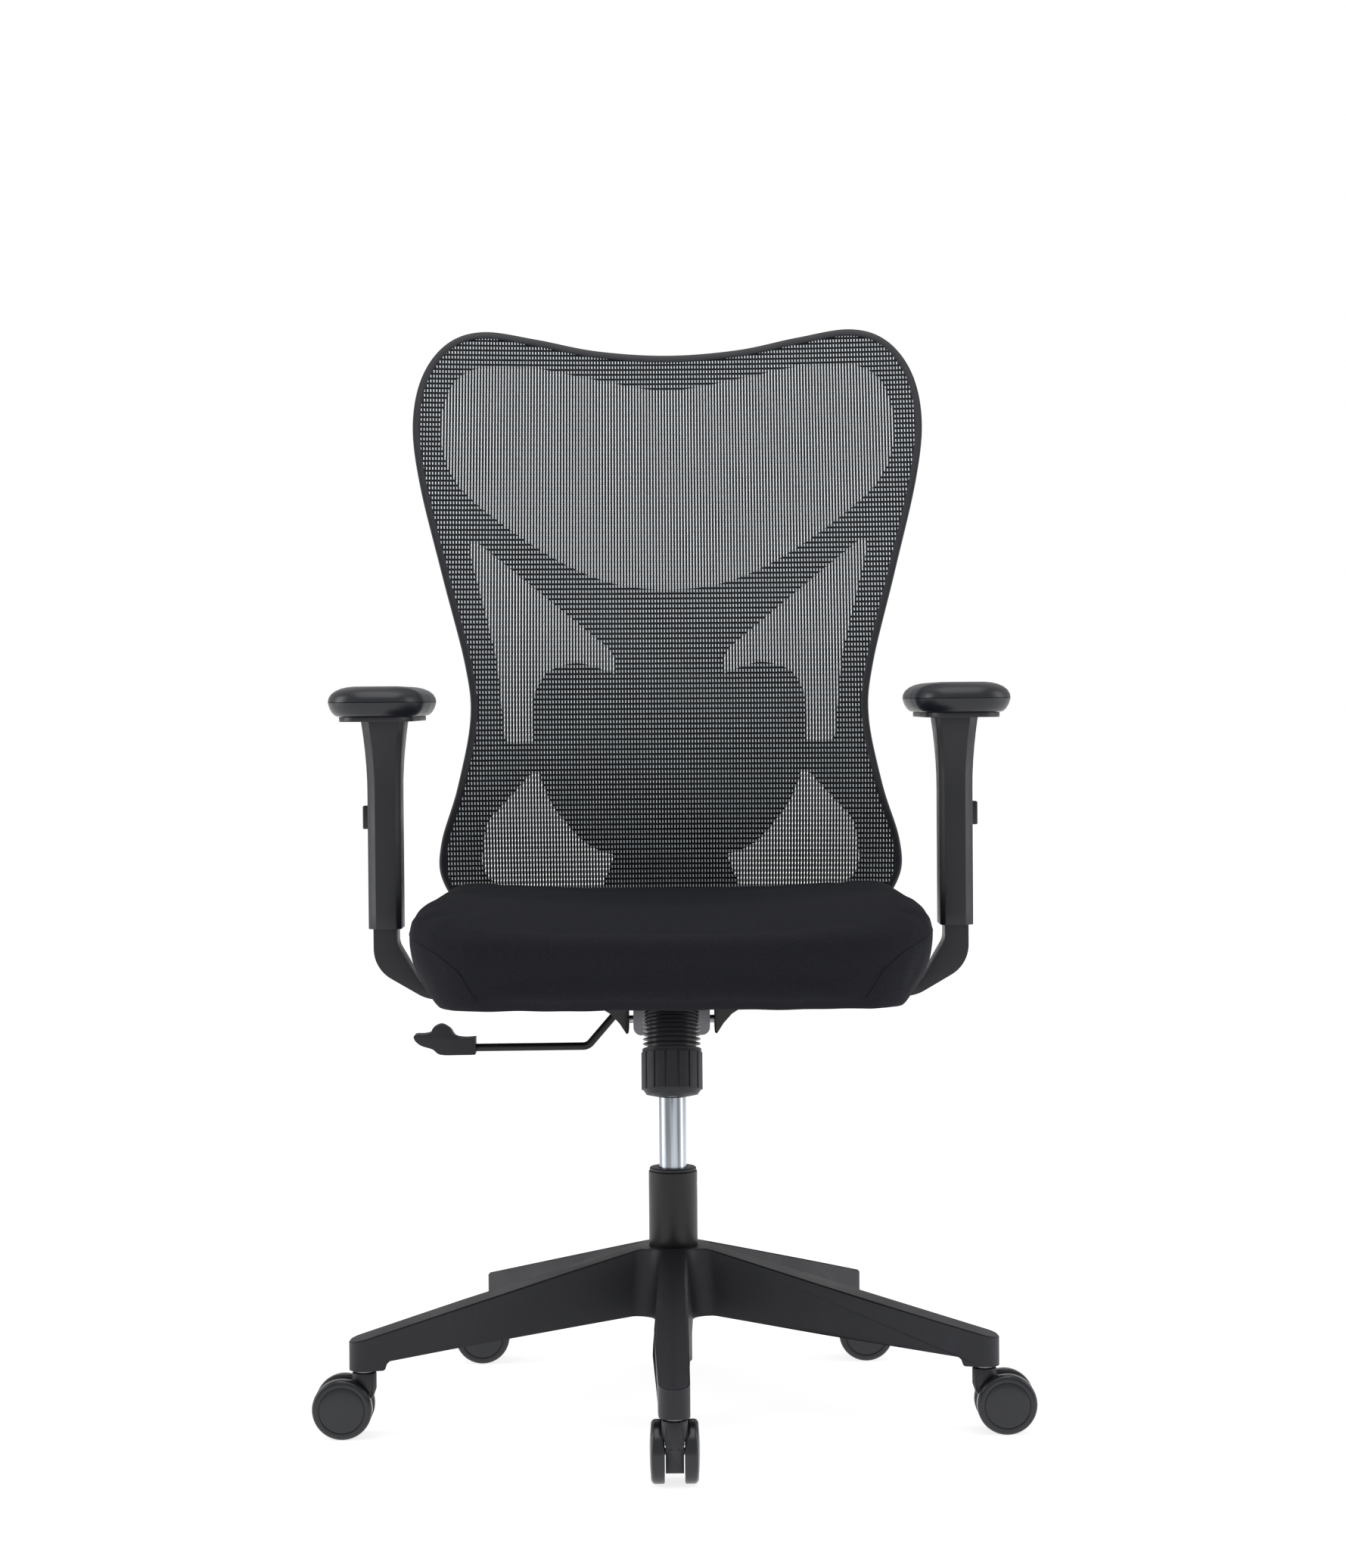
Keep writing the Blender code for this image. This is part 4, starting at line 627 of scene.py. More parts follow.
def arm_plastic():
    return moulded("satin black nylon", tuple(settings().finishes.plastic), 0.36, 1700.0, 0.16, 0.10)


def pad_finish():
    return moulded("soft polyurethane", tuple(settings().finishes.pad), 0.33, 1300.0, 0.14, 0.10, specular=0.5)


def black_steel():
    return moulded("black powder coat", tuple(settings().finishes.steel), 0.36, 2200.0, 0.14, 0.06)


def paint():
    return moulded("light grey paint", tuple(settings().finishes.paint), 0.34, 1200.0, 0.10, 0.06)


def plain_steel():
    if "bare steel" in bpy.data.materials:
        return bpy.data.materials["bare steel"]
    made, tree, shader = finish_base("bare steel", (0.42, 0.42, 0.44), 0.32, 1.0)
    texture = grouped(tree, grain_effect(), grain_size=300.0, mottle_size=30.0)
    ranged(tree, texture.outputs["Mottle"], 0.24, 0.42, shader.inputs["Roughness"])
    bumped(tree, texture.outputs["Height"], shader, 0.06, 0.0002)
    return made


def chrome():
    if "bright chrome" in bpy.data.materials:
        return bpy.data.materials["bright chrome"]
    base = tuple(settings().finishes.chrome)
    made, tree, shader = finish_base("bright chrome", base, 0.24, 1.0)
    # Painted reflections: noise stretched along the cylinder's length makes light and dark streaks in the chrome's
    # colour, in place of the studio reflected in it.
    place = tree.nodes.new("ShaderNodeTexCoord")
    along = tree.nodes.new("ShaderNodeMapping")
    along.inputs["Scale"].default_value = (1.0, 1.0, 0.012)
    streak = add_node(tree, "ShaderNodeTexNoise", scale=260.0, detail=2.0, roughness=0.6)
    tree.links.new(place.outputs["Object"], along.inputs["Vector"])
    tree.links.new(along.outputs["Vector"], streak.inputs["Vector"])
    level = tree.nodes.new("ShaderNodeMapRange")
    level.inputs["From Min"].default_value = 0.36
    level.inputs["From Max"].default_value = 0.64
    tree.links.new(streak.outputs["Fac"], level.inputs["Value"])
    blended(tree, level.outputs["Result"], lighter(base, 0.62), lighter(base, 1.42), shader)
    ranged(tree, streak.outputs["Fac"], 0.20, 0.32, shader.inputs["Roughness"])
    return made


def fabric():
    if "black twill" in bpy.data.materials:
        return bpy.data.materials["black twill"]
    base = tuple(settings().finishes.fabric)
    made, tree, shader = finish_base("black twill", base, 0.9, specular=0.08)
    weave = grouped(tree, twill_effect(), pitch=0.0011)
    blended(tree, weave.outputs["Thread"], lighter(base, 0.7), lighter(base, 1.5), shader)
    ranged(tree, weave.outputs["Height"], 0.92, 0.74, shader.inputs["Roughness"], 0.0, 1.0)
    bumped(tree, weave.outputs["Height"], shader, 0.55, 0.0003)
    shader.inputs["Sheen Weight"].default_value = 0.01
    shader.inputs["Sheen Roughness"].default_value = 0.45
    shader.inputs["Sheen Tint"].default_value = (0.55, 0.58, 0.68, 1.0)
    return made


def yarn(name, base, roughness):
    """Twisted yarn, a little lighter and darker from place to place."""
    if name in bpy.data.materials:
        return bpy.data.materials[name]
    made, tree, shader = finish_base(name, base, roughness, specular=0.3)
    texture = grouped(tree, grain_effect(), grain_size=2400.0, mottle_size=260.0)
    blended(tree, texture.outputs["Mottle"], lighter(base, 0.62), lighter(base, 1.38), shader)
    bumped(tree, texture.outputs["Height"], shader, 0.4, 0.0002)
    return made


def board():
    if "moulded plywood" in bpy.data.materials:
        return bpy.data.materials["moulded plywood"]
    base = tuple(settings().finishes.wood)
    made, tree, shader = finish_base("moulded plywood", base, 0.6)
    place = tree.nodes.new("ShaderNodeTexCoord")
    stretch = tree.nodes.new("ShaderNodeMapping")
    stretch.inputs["Scale"].default_value = (1.0, 14.0, 60.0)
    figure = add_node(tree, "ShaderNodeTexNoise", scale=9.0, detail=6.0, roughness=0.65)
    tree.links.new(place.outputs["Object"], stretch.inputs["Vector"])
    tree.links.new(stretch.outputs["Vector"], figure.inputs["Vector"])
    blended(tree, figure.outputs["Fac"], lighter(base, 0.55), lighter(base, 1.45), shader)
    bumped(tree, figure.outputs["Fac"], shader, 0.2, 0.0004)
    return made


# ---------------------------------------------------------------- repeated details
def repeat_tree(name, inputs):
    tree = bpy.data.node_groups.new(name, "GeometryNodeTree")
    tree.interface.new_socket("Geometry", in_out="INPUT", socket_type="NodeSocketGeometry")
    for label, kind, default in inputs:
        socket = tree.interface.new_socket(label, in_out="INPUT", socket_type="NodeSocket" + kind)
        if default is not None:
            socket.default_value = default
    tree.interface.new_socket("Geometry", in_out="OUTPUT", socket_type="NodeSocketGeometry")
    return tree, tree.nodes.new("NodeGroupInput"), tree.nodes.new("NodeGroupOutput")


def grown(obj, tree, values):
    """The object as the tree makes it from these named inputs, with the modifier made part of the mesh."""
    modifier = obj.modifiers.new("detail", "NODES")
    modifier.node_group = tree
    for item in tree.interface.items_tree:
        if item.item_type == "SOCKET" and item.in_out == "INPUT" and item.name in values:
            modifier[item.identifier] = values[item.name]
    return settled(obj)


def finished_end(tree, geometry, finish_socket, end):
    realise = tree.nodes.new("GeometryNodeRealizeInstances")
    paint_it = tree.nodes.new("GeometryNodeSetMaterial")
    tree.links.new(geometry, realise.inputs["Geometry"])
    tree.links.new(realise.outputs["Geometry"], paint_it.inputs["Geometry"])
    tree.links.new(finish_socket, paint_it.inputs["Material"])
    tree.links.new(paint_it.outputs["Geometry"], end.inputs["Geometry"])


def stitch_tree():
    """Three-sided yarns on a grid, kept where they lie in front of the outline that comes in."""
    if "Yarn Stitches" in bpy.data.node_groups:
        return bpy.data.node_groups["Yarn Stitches"]
    tree, start, end = repeat_tree("Yarn Stitches", [
        ("Width", "Float", 0.6), ("Height", "Float", 0.7), ("Columns", "Int", 10), ("Rows", "Int", 10),
        ("Centre", "Vector", None), ("Yarn Width", "Float", 0.0018), ("Yarn Height", "Float", 0.003),
        ("Yarn Depth", "Float", 0.0008), ("Lean", "Float", 0.1), ("Finish", "Material", None),
    ])
    grid = tree.nodes.new("GeometryNodeMeshGrid")
    for socket, label in (("Size X", "Width"), ("Size Y", "Height"),
                          ("Vertices X", "Columns"), ("Vertices Y", "Rows")):
        tree.links.new(start.outputs[label], grid.inputs[socket])
    stand = tree.nodes.new("GeometryNodeTransform")
    stand.inputs["Rotation"].default_value = (math.pi / 2, 0.0, 0.0)
    tree.links.new(grid.outputs["Mesh"], stand.inputs["Geometry"])
    tree.links.new(start.outputs["Centre"], stand.inputs["Translation"])
    ray = tree.nodes.new("GeometryNodeRaycast")
    where = tree.nodes.new("GeometryNodeInputPosition")
    ahead = tree.nodes.new("ShaderNodeVectorMath")
    ahead.inputs[1].default_value = (0.0, -1.0, 0.0)
    tree.links.new(where.outputs["Position"], ahead.inputs[0])
    tree.links.new(start.outputs["Geometry"], ray.inputs["Target Geometry"])
    tree.links.new(ahead.outputs["Vector"], ray.inputs["Source Position"])
    ray.inputs["Ray Direction"].default_value = (0.0, 1.0, 0.0)
    ray.inputs["Ray Length"].default_value = 4.0
    missed = tree.nodes.new("FunctionNodeBooleanMath")
    missed.operation = "NOT"
    tree.links.new(ray.outputs["Is Hit"], missed.inputs[0])
    drop = tree.nodes.new("GeometryNodeDeleteGeometry")
    drop.domain = "POINT"
    tree.links.new(stand.outputs["Geometry"], drop.inputs["Geometry"])
    tree.links.new(missed.outputs["Boolean"], drop.inputs["Selection"])
    strand = tree.nodes.new("GeometryNodeMeshCylinder")
    strand.fill_type = "NGON"
    strand.inputs["Vertices"].default_value = 3
    strand.inputs["Side Segments"].default_value = 1
    strand.inputs["Radius"].default_value = 1.0 / math.sqrt(3.0)
    strand.inputs["Depth"].default_value = 1.0
    ridge = tree.nodes.new("GeometryNodeTransform")
    ridge.inputs["Rotation"].default_value = (0.0, 0.0, -math.pi / 2)
    tree.links.new(strand.outputs["Mesh"], ridge.inputs["Geometry"])
    sizes = tree.nodes.new("ShaderNodeCombineXYZ")
    for socket, label in (("X", "Yarn Width"), ("Y", "Yarn Depth"), ("Z", "Yarn Height")):
        tree.links.new(start.outputs[label], sizes.inputs[socket])
    leaning = tree.nodes.new("ShaderNodeCombineXYZ")
    tree.links.new(start.outputs["Lean"], leaning.inputs["Y"])
    fit = tree.nodes.new("GeometryNodeTransform")
    tree.links.new(ridge.outputs["Geometry"], fit.inputs["Geometry"])
    tree.links.new(sizes.outputs["Vector"], fit.inputs["Scale"])
    tree.links.new(leaning.outputs["Vector"], fit.inputs["Rotation"])
    spread = tree.nodes.new("GeometryNodeInstanceOnPoints")
    tree.links.new(drop.outputs["Geometry"], spread.inputs["Points"])
    tree.links.new(fit.outputs["Geometry"], spread.inputs["Instance"])
    finished_end(tree, spread.outputs["Instances"], start.outputs["Finish"], end)
    return tree


def ring_tree():
    """Copies of the mesh that comes in, stepped down its Z and turned about it, with a pitch that grows."""
    if "Stepped Copies" in bpy.data.node_groups:
        return bpy.data.node_groups["Stepped Copies"]
    tree, start, end = repeat_tree("Stepped Copies", [
        ("Count", "Int", 10), ("Pitch", "Float", 0.003), ("Growth", "Float", 0.0), ("Turn", "Float", 0.0),
        ("Finish", "Material", None),
    ])
    row = tree.nodes.new("GeometryNodeMeshLine")
    row.inputs["Offset"].default_value = (0.0, 0.0, 0.0)
    tree.links.new(start.outputs["Count"], row.inputs["Count"])
    index = tree.nodes.new("GeometryNodeInputIndex")
    grow = tree.nodes.new("ShaderNodeMath")
    grow.operation = "MULTIPLY_ADD"
    tree.links.new(index.outputs["Index"], grow.inputs[0])
    tree.links.new(start.outputs["Growth"], grow.inputs[1])
    tree.links.new(start.outputs["Pitch"], grow.inputs[2])
    drop = tree.nodes.new("ShaderNodeMath")
    drop.operation = "MULTIPLY"
    tree.links.new(index.outputs["Index"], drop.inputs[0])
    tree.links.new(grow.outputs["Value"], drop.inputs[1])
    down = tree.nodes.new("ShaderNodeMath")
    down.operation = "MULTIPLY"
    down.inputs[1].default_value = -1.0
    tree.links.new(drop.outputs["Value"], down.inputs[0])
    step = tree.nodes.new("ShaderNodeCombineXYZ")
    tree.links.new(down.outputs["Value"], step.inputs["Z"])
    move = tree.nodes.new("GeometryNodeSetPosition")
    tree.links.new(row.outputs["Mesh"], move.inputs["Geometry"])
    tree.links.new(step.outputs["Vector"], move.inputs["Offset"])
    angle = tree.nodes.new("ShaderNodeMath")
    angle.operation = "MULTIPLY"
    tree.links.new(index.outputs["Index"], angle.inputs[0])
    tree.links.new(start.outputs["Turn"], angle.inputs[1])
    turn = tree.nodes.new("ShaderNodeCombineXYZ")
    tree.links.new(angle.outputs["Value"], turn.inputs["Z"])
    spread = tree.nodes.new("GeometryNodeInstanceOnPoints")
    tree.links.new(move.outputs["Geometry"], spread.inputs["Points"])
    tree.links.new(start.outputs["Geometry"], spread.inputs["Instance"])
    tree.links.new(turn.outputs["Vector"], spread.inputs["Rotation"])
    finished_end(tree, spread.outputs["Instances"], start.outputs["Finish"], end)
    return tree


# ---------------------------------------------------------------- back
def back_surface(x, z):
    """How far back the middle of the back frame lies, at this place in its front view."""
    s = settings().back
    rise = math.hypot(s.bend, z - s.lumbar_z) - s.bend
    return s.lumbar_y + s.recline * rise - s.wrap * (x / s.half_width) ** 2


def laid_on_back(obj):
    """Moves a flat piece onto the back's curved surface."""
    for vert in obj.data.vertices:
        vert.co.y += back_surface(vert.co.x, vert.co.z)
    obj.data.update()
    return obj


def gridded(obj, pitch):
    """The flat piece cut across on a grid, so that it can follow the back's curve."""
    shape = bmesh.new()
    shape.from_mesh(obj.data)
    for axis in (0, 2):
        low = min(vert.co[axis] for vert in shape.verts)
        high = max(vert.co[axis] for vert in shape.verts)
        for step in range(math.ceil(low / pitch), math.floor(high / pitch) + 1):
            at, normal = Vector((0, 0, 0)), Vector((0, 0, 0))
            at[axis] = (step + 0.37) * pitch
            normal[axis] = 1.0
            everything = shape.verts[:] + shape.edges[:] + shape.faces[:]
            bmesh.ops.bisect_plane(shape, geom=everything, dist=0.000001, plane_co=at, plane_no=normal)
    bmesh.ops.triangulate(shape, faces=[face for face in shape.faces if len(face.verts) > 4])
    shape.to_mesh(obj.data)
    shape.free()
    return obj


def back_outline(steps):
    s = settings().back
    return smooth_outline(mirrored([
        (0.000, 1.120), (0.079, 1.1255), (0.145, 1.1385), (0.205, 1.1470), (0.245, 1.1330), (0.272, 1.0950),
        (s.half_width, 1.0400), (0.273, 0.9720), (0.2477, 0.8710), (0.2223, 0.7720), (0.2170, 0.7130),
        (0.2316, 0.6395), (0.2500, 0.5800), (0.2505, 0.5400), (0.2260, 0.5060), (0.1700, 0.492), (0.000, 0.488),
    ]), steps)


def web_openings(steps):
    """The upper window, two side windows and two lower windows of the moulded web."""
    upper = smooth_outline(mirrored([
        (0.000, 1.0810), (0.079, 1.0935), (0.148, 1.1070), (0.2045, 1.1080), (0.2360, 1.0915), (0.2520, 1.0490),
        (0.2480, 1.0060), (0.2305, 0.9710), (0.187, 0.9320), (0.122, 0.8886), (0.061, 0.8625), (0.000, 0.8556),
    ]), steps)
    side_window = [(0.2245, 0.9200, 0.006), (0.1890, 0.7800, 0.200), (0.1800, 0.6860, 0.012),
                   (0.0900, 0.6885, 0.025), (0.0570, 0.7400, 0.030), (0.0605, 0.7860, 0.025)]
    lower_window = [(0.1520, 0.6540, 0.005), (0.2020, 0.6000, 0.035), (0.2090, 0.5500, 0.030),
                    (0.1850, 0.5220, 0.022), (0.0800, 0.5165, 0.012), (0.0610, 0.5650, 0.050),
                    (0.0650, 0.6200, 0.030), (0.1000, 0.6515, 0.020)]
    found = [upper]
    for side in (-1, 1):
        for window in (side_window, lower_window):
            found.append(rounded([(side * x, z, r) for x, z, r in window], steps))
    return found


class ChairBackFrame(bpy.types.Operator):
    """Build the rim that holds the net, the moulded web behind it, and the bracket with its bolts"""

    bl_idname = "chair.back_frame"
    bl_label = "Back frame"

    def execute(self, context):
        s = settings().back
        outline = back_outline(10)
        half = s.rim_depth / 2
        corner = s.rim_width * 0.38
        section = rounded([(0.0, -half, corner), (s.rim_width, -half, corner * 0.5),
                           (s.rim_width, half, corner * 0.5), (0.0, half, corner)], 4)
        rings = []
        for (u, v), normal in zip(outline, normals_of(outline)):
            rings.append([(u + normal.x * d, y, v + normal.y * d) for d, y in section])
        rim = shaded(laid_on_back(loft("back_rim", rings, arm_plastic(), capped=False)), 60.0)

        rear = half - 0.0010
        web = prism("back_web", [inset(back_outline(6), s.rim_width / 2)] + web_openings(6), rear - s.web_thickness,
                    rear, "XZ", plastic())
        web = softened(web, 0.0009, 2, 60.0)
        shaded(laid_on_back(gridded(web, 0.014)), 40.0)
        carried(rim, ["back_frame"])
        carried(web, ["back_frame"])

        bracket = softened(clean_copy("back_bracket", "rear_bracket", black_steel()), 0.0010)
        carried(bracket, ["back_bracket"])
        for word in ("lower", "upper"):
            bolt = softened(clean_copy(f"back_bolt_{word}", f"bracket_bolt_{word}", plain_steel()), 0.0005)
            carried(bolt, [f"back_bolt_{word}"])
        return {"FINISHED"}


class ChairNet(bpy.types.Operator):
    """Weave the back's net: black bands and bars with see-through slits, and light floats on its face"""

    bl_idname = "chair.net"
    bl_label = "Back net"

    def execute(self, context):
        back, s = settings().back, settings().net
        edge = inset(back_outline(6), back.rim_width * 0.55)
        us, vs = [u for u, _ in edge], [v for _, v in edge]
        columns = int((max(us) - min(us)) / s.cell_width) // 2 * 2 + 1
        rows = int((max(vs) - min(vs)) / s.cell_height) + 1
        depth = -back.rim_depth / 2 + 0.0014
        middle = (0.0, depth, (max(vs) + min(vs)) / 2)
        size = {"Width": (columns - 1) * s.cell_width, "Height": (rows - 1) * s.cell_height, "Columns": columns,
                "Rows": rows}
        ground = yarn("black net yarn", tuple(settings().finishes.yarn), 0.7)
        light = yarn("light float yarn", tuple(settings().finishes.floats), 0.55)

        shape = bmesh.new()
        filled_face(shape, edge)
        bars = from_shape("net_bars", shape)
        grown(bars, stitch_tree(), {
            **size, "Centre": middle, "Yarn Width": s.bar_width,
            "Yarn Height": s.cell_height - s.band_height + 0.0004, "Yarn Depth": s.depth, "Lean": s.lean,
            "Finish": ground,
        })

        shape = bmesh.new()
        shape.from_mesh(bars.data)
        bpy.data.objects.remove(bars, do_unlink=True)
        low = middle[2] - size["Height"] / 2 - s.cell_height / 2
        for row in range(rows + 1):
            add_band(shape, edge, low + row * s.cell_height, depth, s)
        net = from_shape("back_net", shape, ground)
        shaded(laid_on_back(net), 80.0)

        shape = bmesh.new()
        filled_face(shape, inset(edge, back.rim_width * 0.3))
        floats = from_shape("net_floats", shape)
        grown(floats, stitch_tree(), {
            **size, "Rows": rows + 1, "Height": rows * s.cell_height, "Columns": columns + 1,
            "Width": columns * s.cell_width,
            "Centre": (0.0, depth - s.depth * 0.45, middle[2]), "Yarn Width": s.float_width,
            "Yarn Height": s.float_height, "Yarn Depth": s.depth, "Lean": -s.lean * 0.5, "Finish": light,
        })
        shaded(laid_on_back(floats), 80.0)
        carried(net, ["back_mesh"])
        carried(floats, ["back_mesh"])
        return {"FINISHED"}


def filled_face(shape, outline):
    """Adds the area inside an upright flat outline, cut into triangles."""
    face = shape.faces.new([shape.verts.new((u, 0.0, v)) for u, v in outline])
    face.normal_update()
    bmesh.ops.triangulate(shape, faces=[face])


def add_band(shape, edge, height, depth, s):
    """One black band across the net, in short lengths wherever it lies inside the edge."""
    step = 3 * s.cell_width
    us = [u for u, _ in edge]
    count = int((max(us) - min(us)) / step) + 2
    start = -count * step / 2
    spans, current = [], None
    for i in range(count * 3 + 1):
        u = start + i * s.cell_width
        if inside(edge, u, height):
            if current is None:
                current = [u, u]
            current[1] = u
        elif current is not None:
            spans.append(current)
            current = None
    half, front, rear = s.band_height / 2, depth - s.depth * 0.35, depth + s.depth * 0.35
    for left, right in spans:
        pieces = max(1, round((right - left) / step))
        previous = None
        for k in range(pieces + 1):
            u = left + (right - left) * k / pieces
            ring = [shape.verts.new((u, y, height + z)) for y, z in (
                (front, -half), (front, half), (rear, half), (rear, -half))]
            if previous is None:
                shape.faces.new(ring[::-1])
            else:
                for i in range(4):
                    j = (i + 1) % 4
                    shape.faces.new((previous[i], previous[j], ring[j], ring[i]))
            previous = ring
        if previous is not None:
            shape.faces.new(previous)


class ChairLumbar(bpy.types.Operator):
    """Build the two-lobed lumbar pad between the net and the web"""

    bl_idname = "chair.lumbar"
    bl_label = "Lumbar pad"

    def execute(self, context):
        s = settings().back
        outline = smooth_outline(mirrored([
            (0.000, 0.758), (0.050, 0.7600), (0.100, 0.7745), (0.138, 0.7600), (0.150, 0.7170), (0.142, 0.6500),
            (0.115, 0.6000), (0.075, 0.5670), (0.000, 0.5590),
        ]), 8)
        front = (-s.rim_depth / 2 + 0.0020 + s.rim_depth / 2 - 0.0010 - 2 * s.lumbar_thickness) / 2
        pad = prism("lumbar_shell", [outline], front, front + s.lumbar_thickness, "XZ", plastic())
        pad = softened(pad, 0.0012, 3, 60.0)
        shaded(laid_on_back(gridded(pad, 0.014)), 40.0)
        carried(pad, ["lumbar_pad"])
        return {"FINISHED"}


# ---------------------------------------------------------------- seat
def seat_outline(distance, steps):
    s = settings().seat
    corners = [(-s.half_width + 0.014, s.rear_y, 0.075), (-s.half_width - 0.004, s.front_y, 0.085),
               (s.half_width + 0.004, s.front_y, 0.085), (s.half_width - 0.014, s.rear_y, 0.075)]
    return inset(rounded(corners, steps), distance)


def even_outline(outline, count):
    """The closed outline with its points spaced evenly."""
    points = [Vector(point) for point in outline]
    runs = [(points[(i + 1) % len(points)] - points[i]).length for i in range(len(points))]
    total, made = sum(runs), []
    i, passed = 0, 0.0
    for k in range(count):
        want = total * k / count
        while passed + runs[i] < want:
            passed += runs[i]
            i += 1
        t = (want - passed) / max(runs[i], 1e-9)
        made.append(tuple(points[i].lerp(points[(i + 1) % len(points)], t)))
    return made


def seat_top(x, y, distance):
    """Height of the cushion's top surface at a place that lies this far inside its edge."""
    s = settings().seat
    across = min(1.0, abs(x) / s.half_width)
    along = (y - s.front_y) / (s.rear_y - s.front_y)
    front = max(0.0, 1.0 - along / 0.42)
    crown = min(1.0, distance / 0.030)
    return s.side_z - s.edge_drop * (1 - crown) ** 2 - s.dish * (1 - across**2) * crown - s.front_drop * front**2.2


def plump(obj):
    """Swells the cushion as foam under its cover, with cloth simulation, and keeps it near its own shape."""
    s = settings().seat
    rest = [vert.co.copy() for vert in obj.data.vertices]
    cloth = obj.modifiers.new("cover", "CLOTH")
    cloth.settings.quality = 5
    cloth.settings.mass = 0.3
    cloth.settings.use_pressure = True
    cloth.settings.uniform_pressure_force = s.pressure
    cloth.settings.effector_weights.gravity = 0.0
    pinned = obj.vertex_groups.new(name="held")
    pinned.add([i for i, co in enumerate(rest) if co.z < s.foot_z + 0.004], 1.0, "REPLACE")
    cloth.settings.vertex_group_mass = "held"
    scene = bpy.context.scene
    for number in range(1, 21):
        scene.frame_set(number)
    graph = bpy.context.evaluated_depsgraph_get()
    swollen = obj.evaluated_get(graph).to_mesh()
    moved = [vert.co.copy() for vert in swollen.vertices]
    obj.evaluated_get(graph).to_mesh_clear()
    obj.modifiers.clear()
    scene.frame_set(1)
    for vert, was, now in zip(obj.data.vertices, rest, moved):
        shift = now - was
        if shift.length > s.swell:
            shift *= s.swell / shift.length
        vert.co = was + shift
    obj.vertex_groups.clear()
    return obj


class ChairSeat(bpy.types.Operator):
    """Build the cushion under its twill cover and its sewn side seams, and give the board under it its plywood finish
    """

    bl_idname = "chair.seat"
    bl_label = "Seat"

    def execute(self, context):
        s = settings().seat
        count = 160
        shy = 0.003
        rings = []
        for rise, distance in ((-0.02, 0.050), (-0.10, 0.042), (-0.10, 0.032), (0.02, 0.0270), (0.14, 0.0210),
                               (0.35, 0.0140), (0.60, 0.0064), (0.82, 0.0022), (1.0, 0.0)):
            rings.append([(x, y, s.foot_z + 0.0005 + rise * (min(s.widest_z, seat_top(x, y, 0.0) - 0.012) - s.foot_z))
                          for x, y in even_outline(seat_outline(distance + shy, 8), count)])
        middle, half = (s.front_y + s.rear_y) / 2, (s.rear_y - s.front_y) / 2
        edge = even_outline(seat_outline(shy, 8), count)
        for distance in (0.0015, 0.004, 0.008, 0.014, 0.022, 0.032, 0.048, 0.065, 0.085, 0.110, 0.135, 0.160, 0.190):
            ring = []
            for x, y in edge:
                u, v = x * (1 - distance / s.half_width), middle + (y - middle) * (1 - distance / half)
                ring.append((u, v, seat_top(u, v, distance) - shy * 0.5))
            rings.append(ring)
        cushion = loft("seat_cover", rings, fabric())
        remesh = cushion.modifiers.new("cells", "REMESH")
        remesh.mode = "VOXEL"
        remesh.voxel_size = s.voxel
        settled(cushion)
        plump(cushion)
        smooth = cushion.modifiers.new("even", "SMOOTH")
        smooth.factor = 0.5
        smooth.iterations = 6
        settled(cushion)
        for vert in cushion.data.vertices:
            vert.co += self.gathers(vert.co)
        finer = cushion.modifiers.new("finer", "SUBSURF")
        finer.levels = finer.render_levels = 1
        settled(cushion)
        shaded(cushion, 180.0)
        if not cushion.data.materials:
            cushion.data.materials.append(fabric())
        skin = BVHTree.FromObject(cushion, context.evaluated_depsgraph_get())
        carried(cushion, ["seat_cushion"])
        for word, side in (("left", -1), ("right", 1)):
            points = self.seam(skin, side)
            seam = tube_along(f"seat_seam_{word}", points, s.seam_radius, fabric(), 8)
            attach(seam, "seat")
        NODES["seat_pan"].data.materials.clear()
        NODES["seat_pan"].data.materials.append(board())
        return {"FINISHED"}

    def gathers(self, at):
        """Where the cover is pulled under the board, its edge is a little uneven."""
        s = settings().seat
        near = max(0.0, 1.0 - abs(at.z - s.foot_z - 0.004) / 0.016)
        across = math.sin(at.x * 61.0 + 1.3) + 0.6 * math.sin(at.x * 137.0 + at.y * 90.0)
        wave = across + 0.5 * math.sin(at.y * 71.0)
        return Vector((0.0, 0.0, -0.0009 * wave * near))

    def seam(self, skin, side):
        """The side panel's sewn edge: up the front corner, then back along the side."""
        s = settings().seat
        route = [(0.236, -0.30, 0.446), (0.243, -0.30, 0.458), (0.250, -0.30, 0.474), (0.258, -0.27, 0.490),
                 (0.272, -0.22, 0.503), (0.290, -0.16, 0.511), (0.300, -0.08, 0.515), (0.300, 0.0, 0.516),
                 (0.300, 0.08, 0.516), (0.300, 0.15, 0.515)]
        guide = [Vector((side * x, y, z)) for x, y, z in route]
        dense = []
        for a, b in zip(guide, guide[1:]):
            dense += [a.lerp(b, k / 8) for k in range(8)]
        dense.append(guide[-1])
        found = []
        for point in dense:
            target = Vector((point.x * 0.80, (s.front_y + s.rear_y) / 2 + (point.y - 0.0) * 0.70, point.z))
            hit, normal, _, _ = skin.ray_cast(point, (target - point).normalized(), 0.2)
            if hit is not None:
                found.append(hit + normal * s.seam_radius * 0.15)
        for _ in range(3):
            found = [found[0]] + [(a + b * 2 + c) / 4 for a, b, c in zip(found, found[1:], found[2:])] + [found[-1]]
        return found


# ---------------------------------------------------------------- arms
SLEEVE_HALF = (0.0170, 0.0270)
SLEEVE_FLARE = 0.0050
SLEEVE_FLARE_RISE = 0.070  # the sleeve widens over this much below its top
SLOT_HALF = (0.0124, 0.0204)


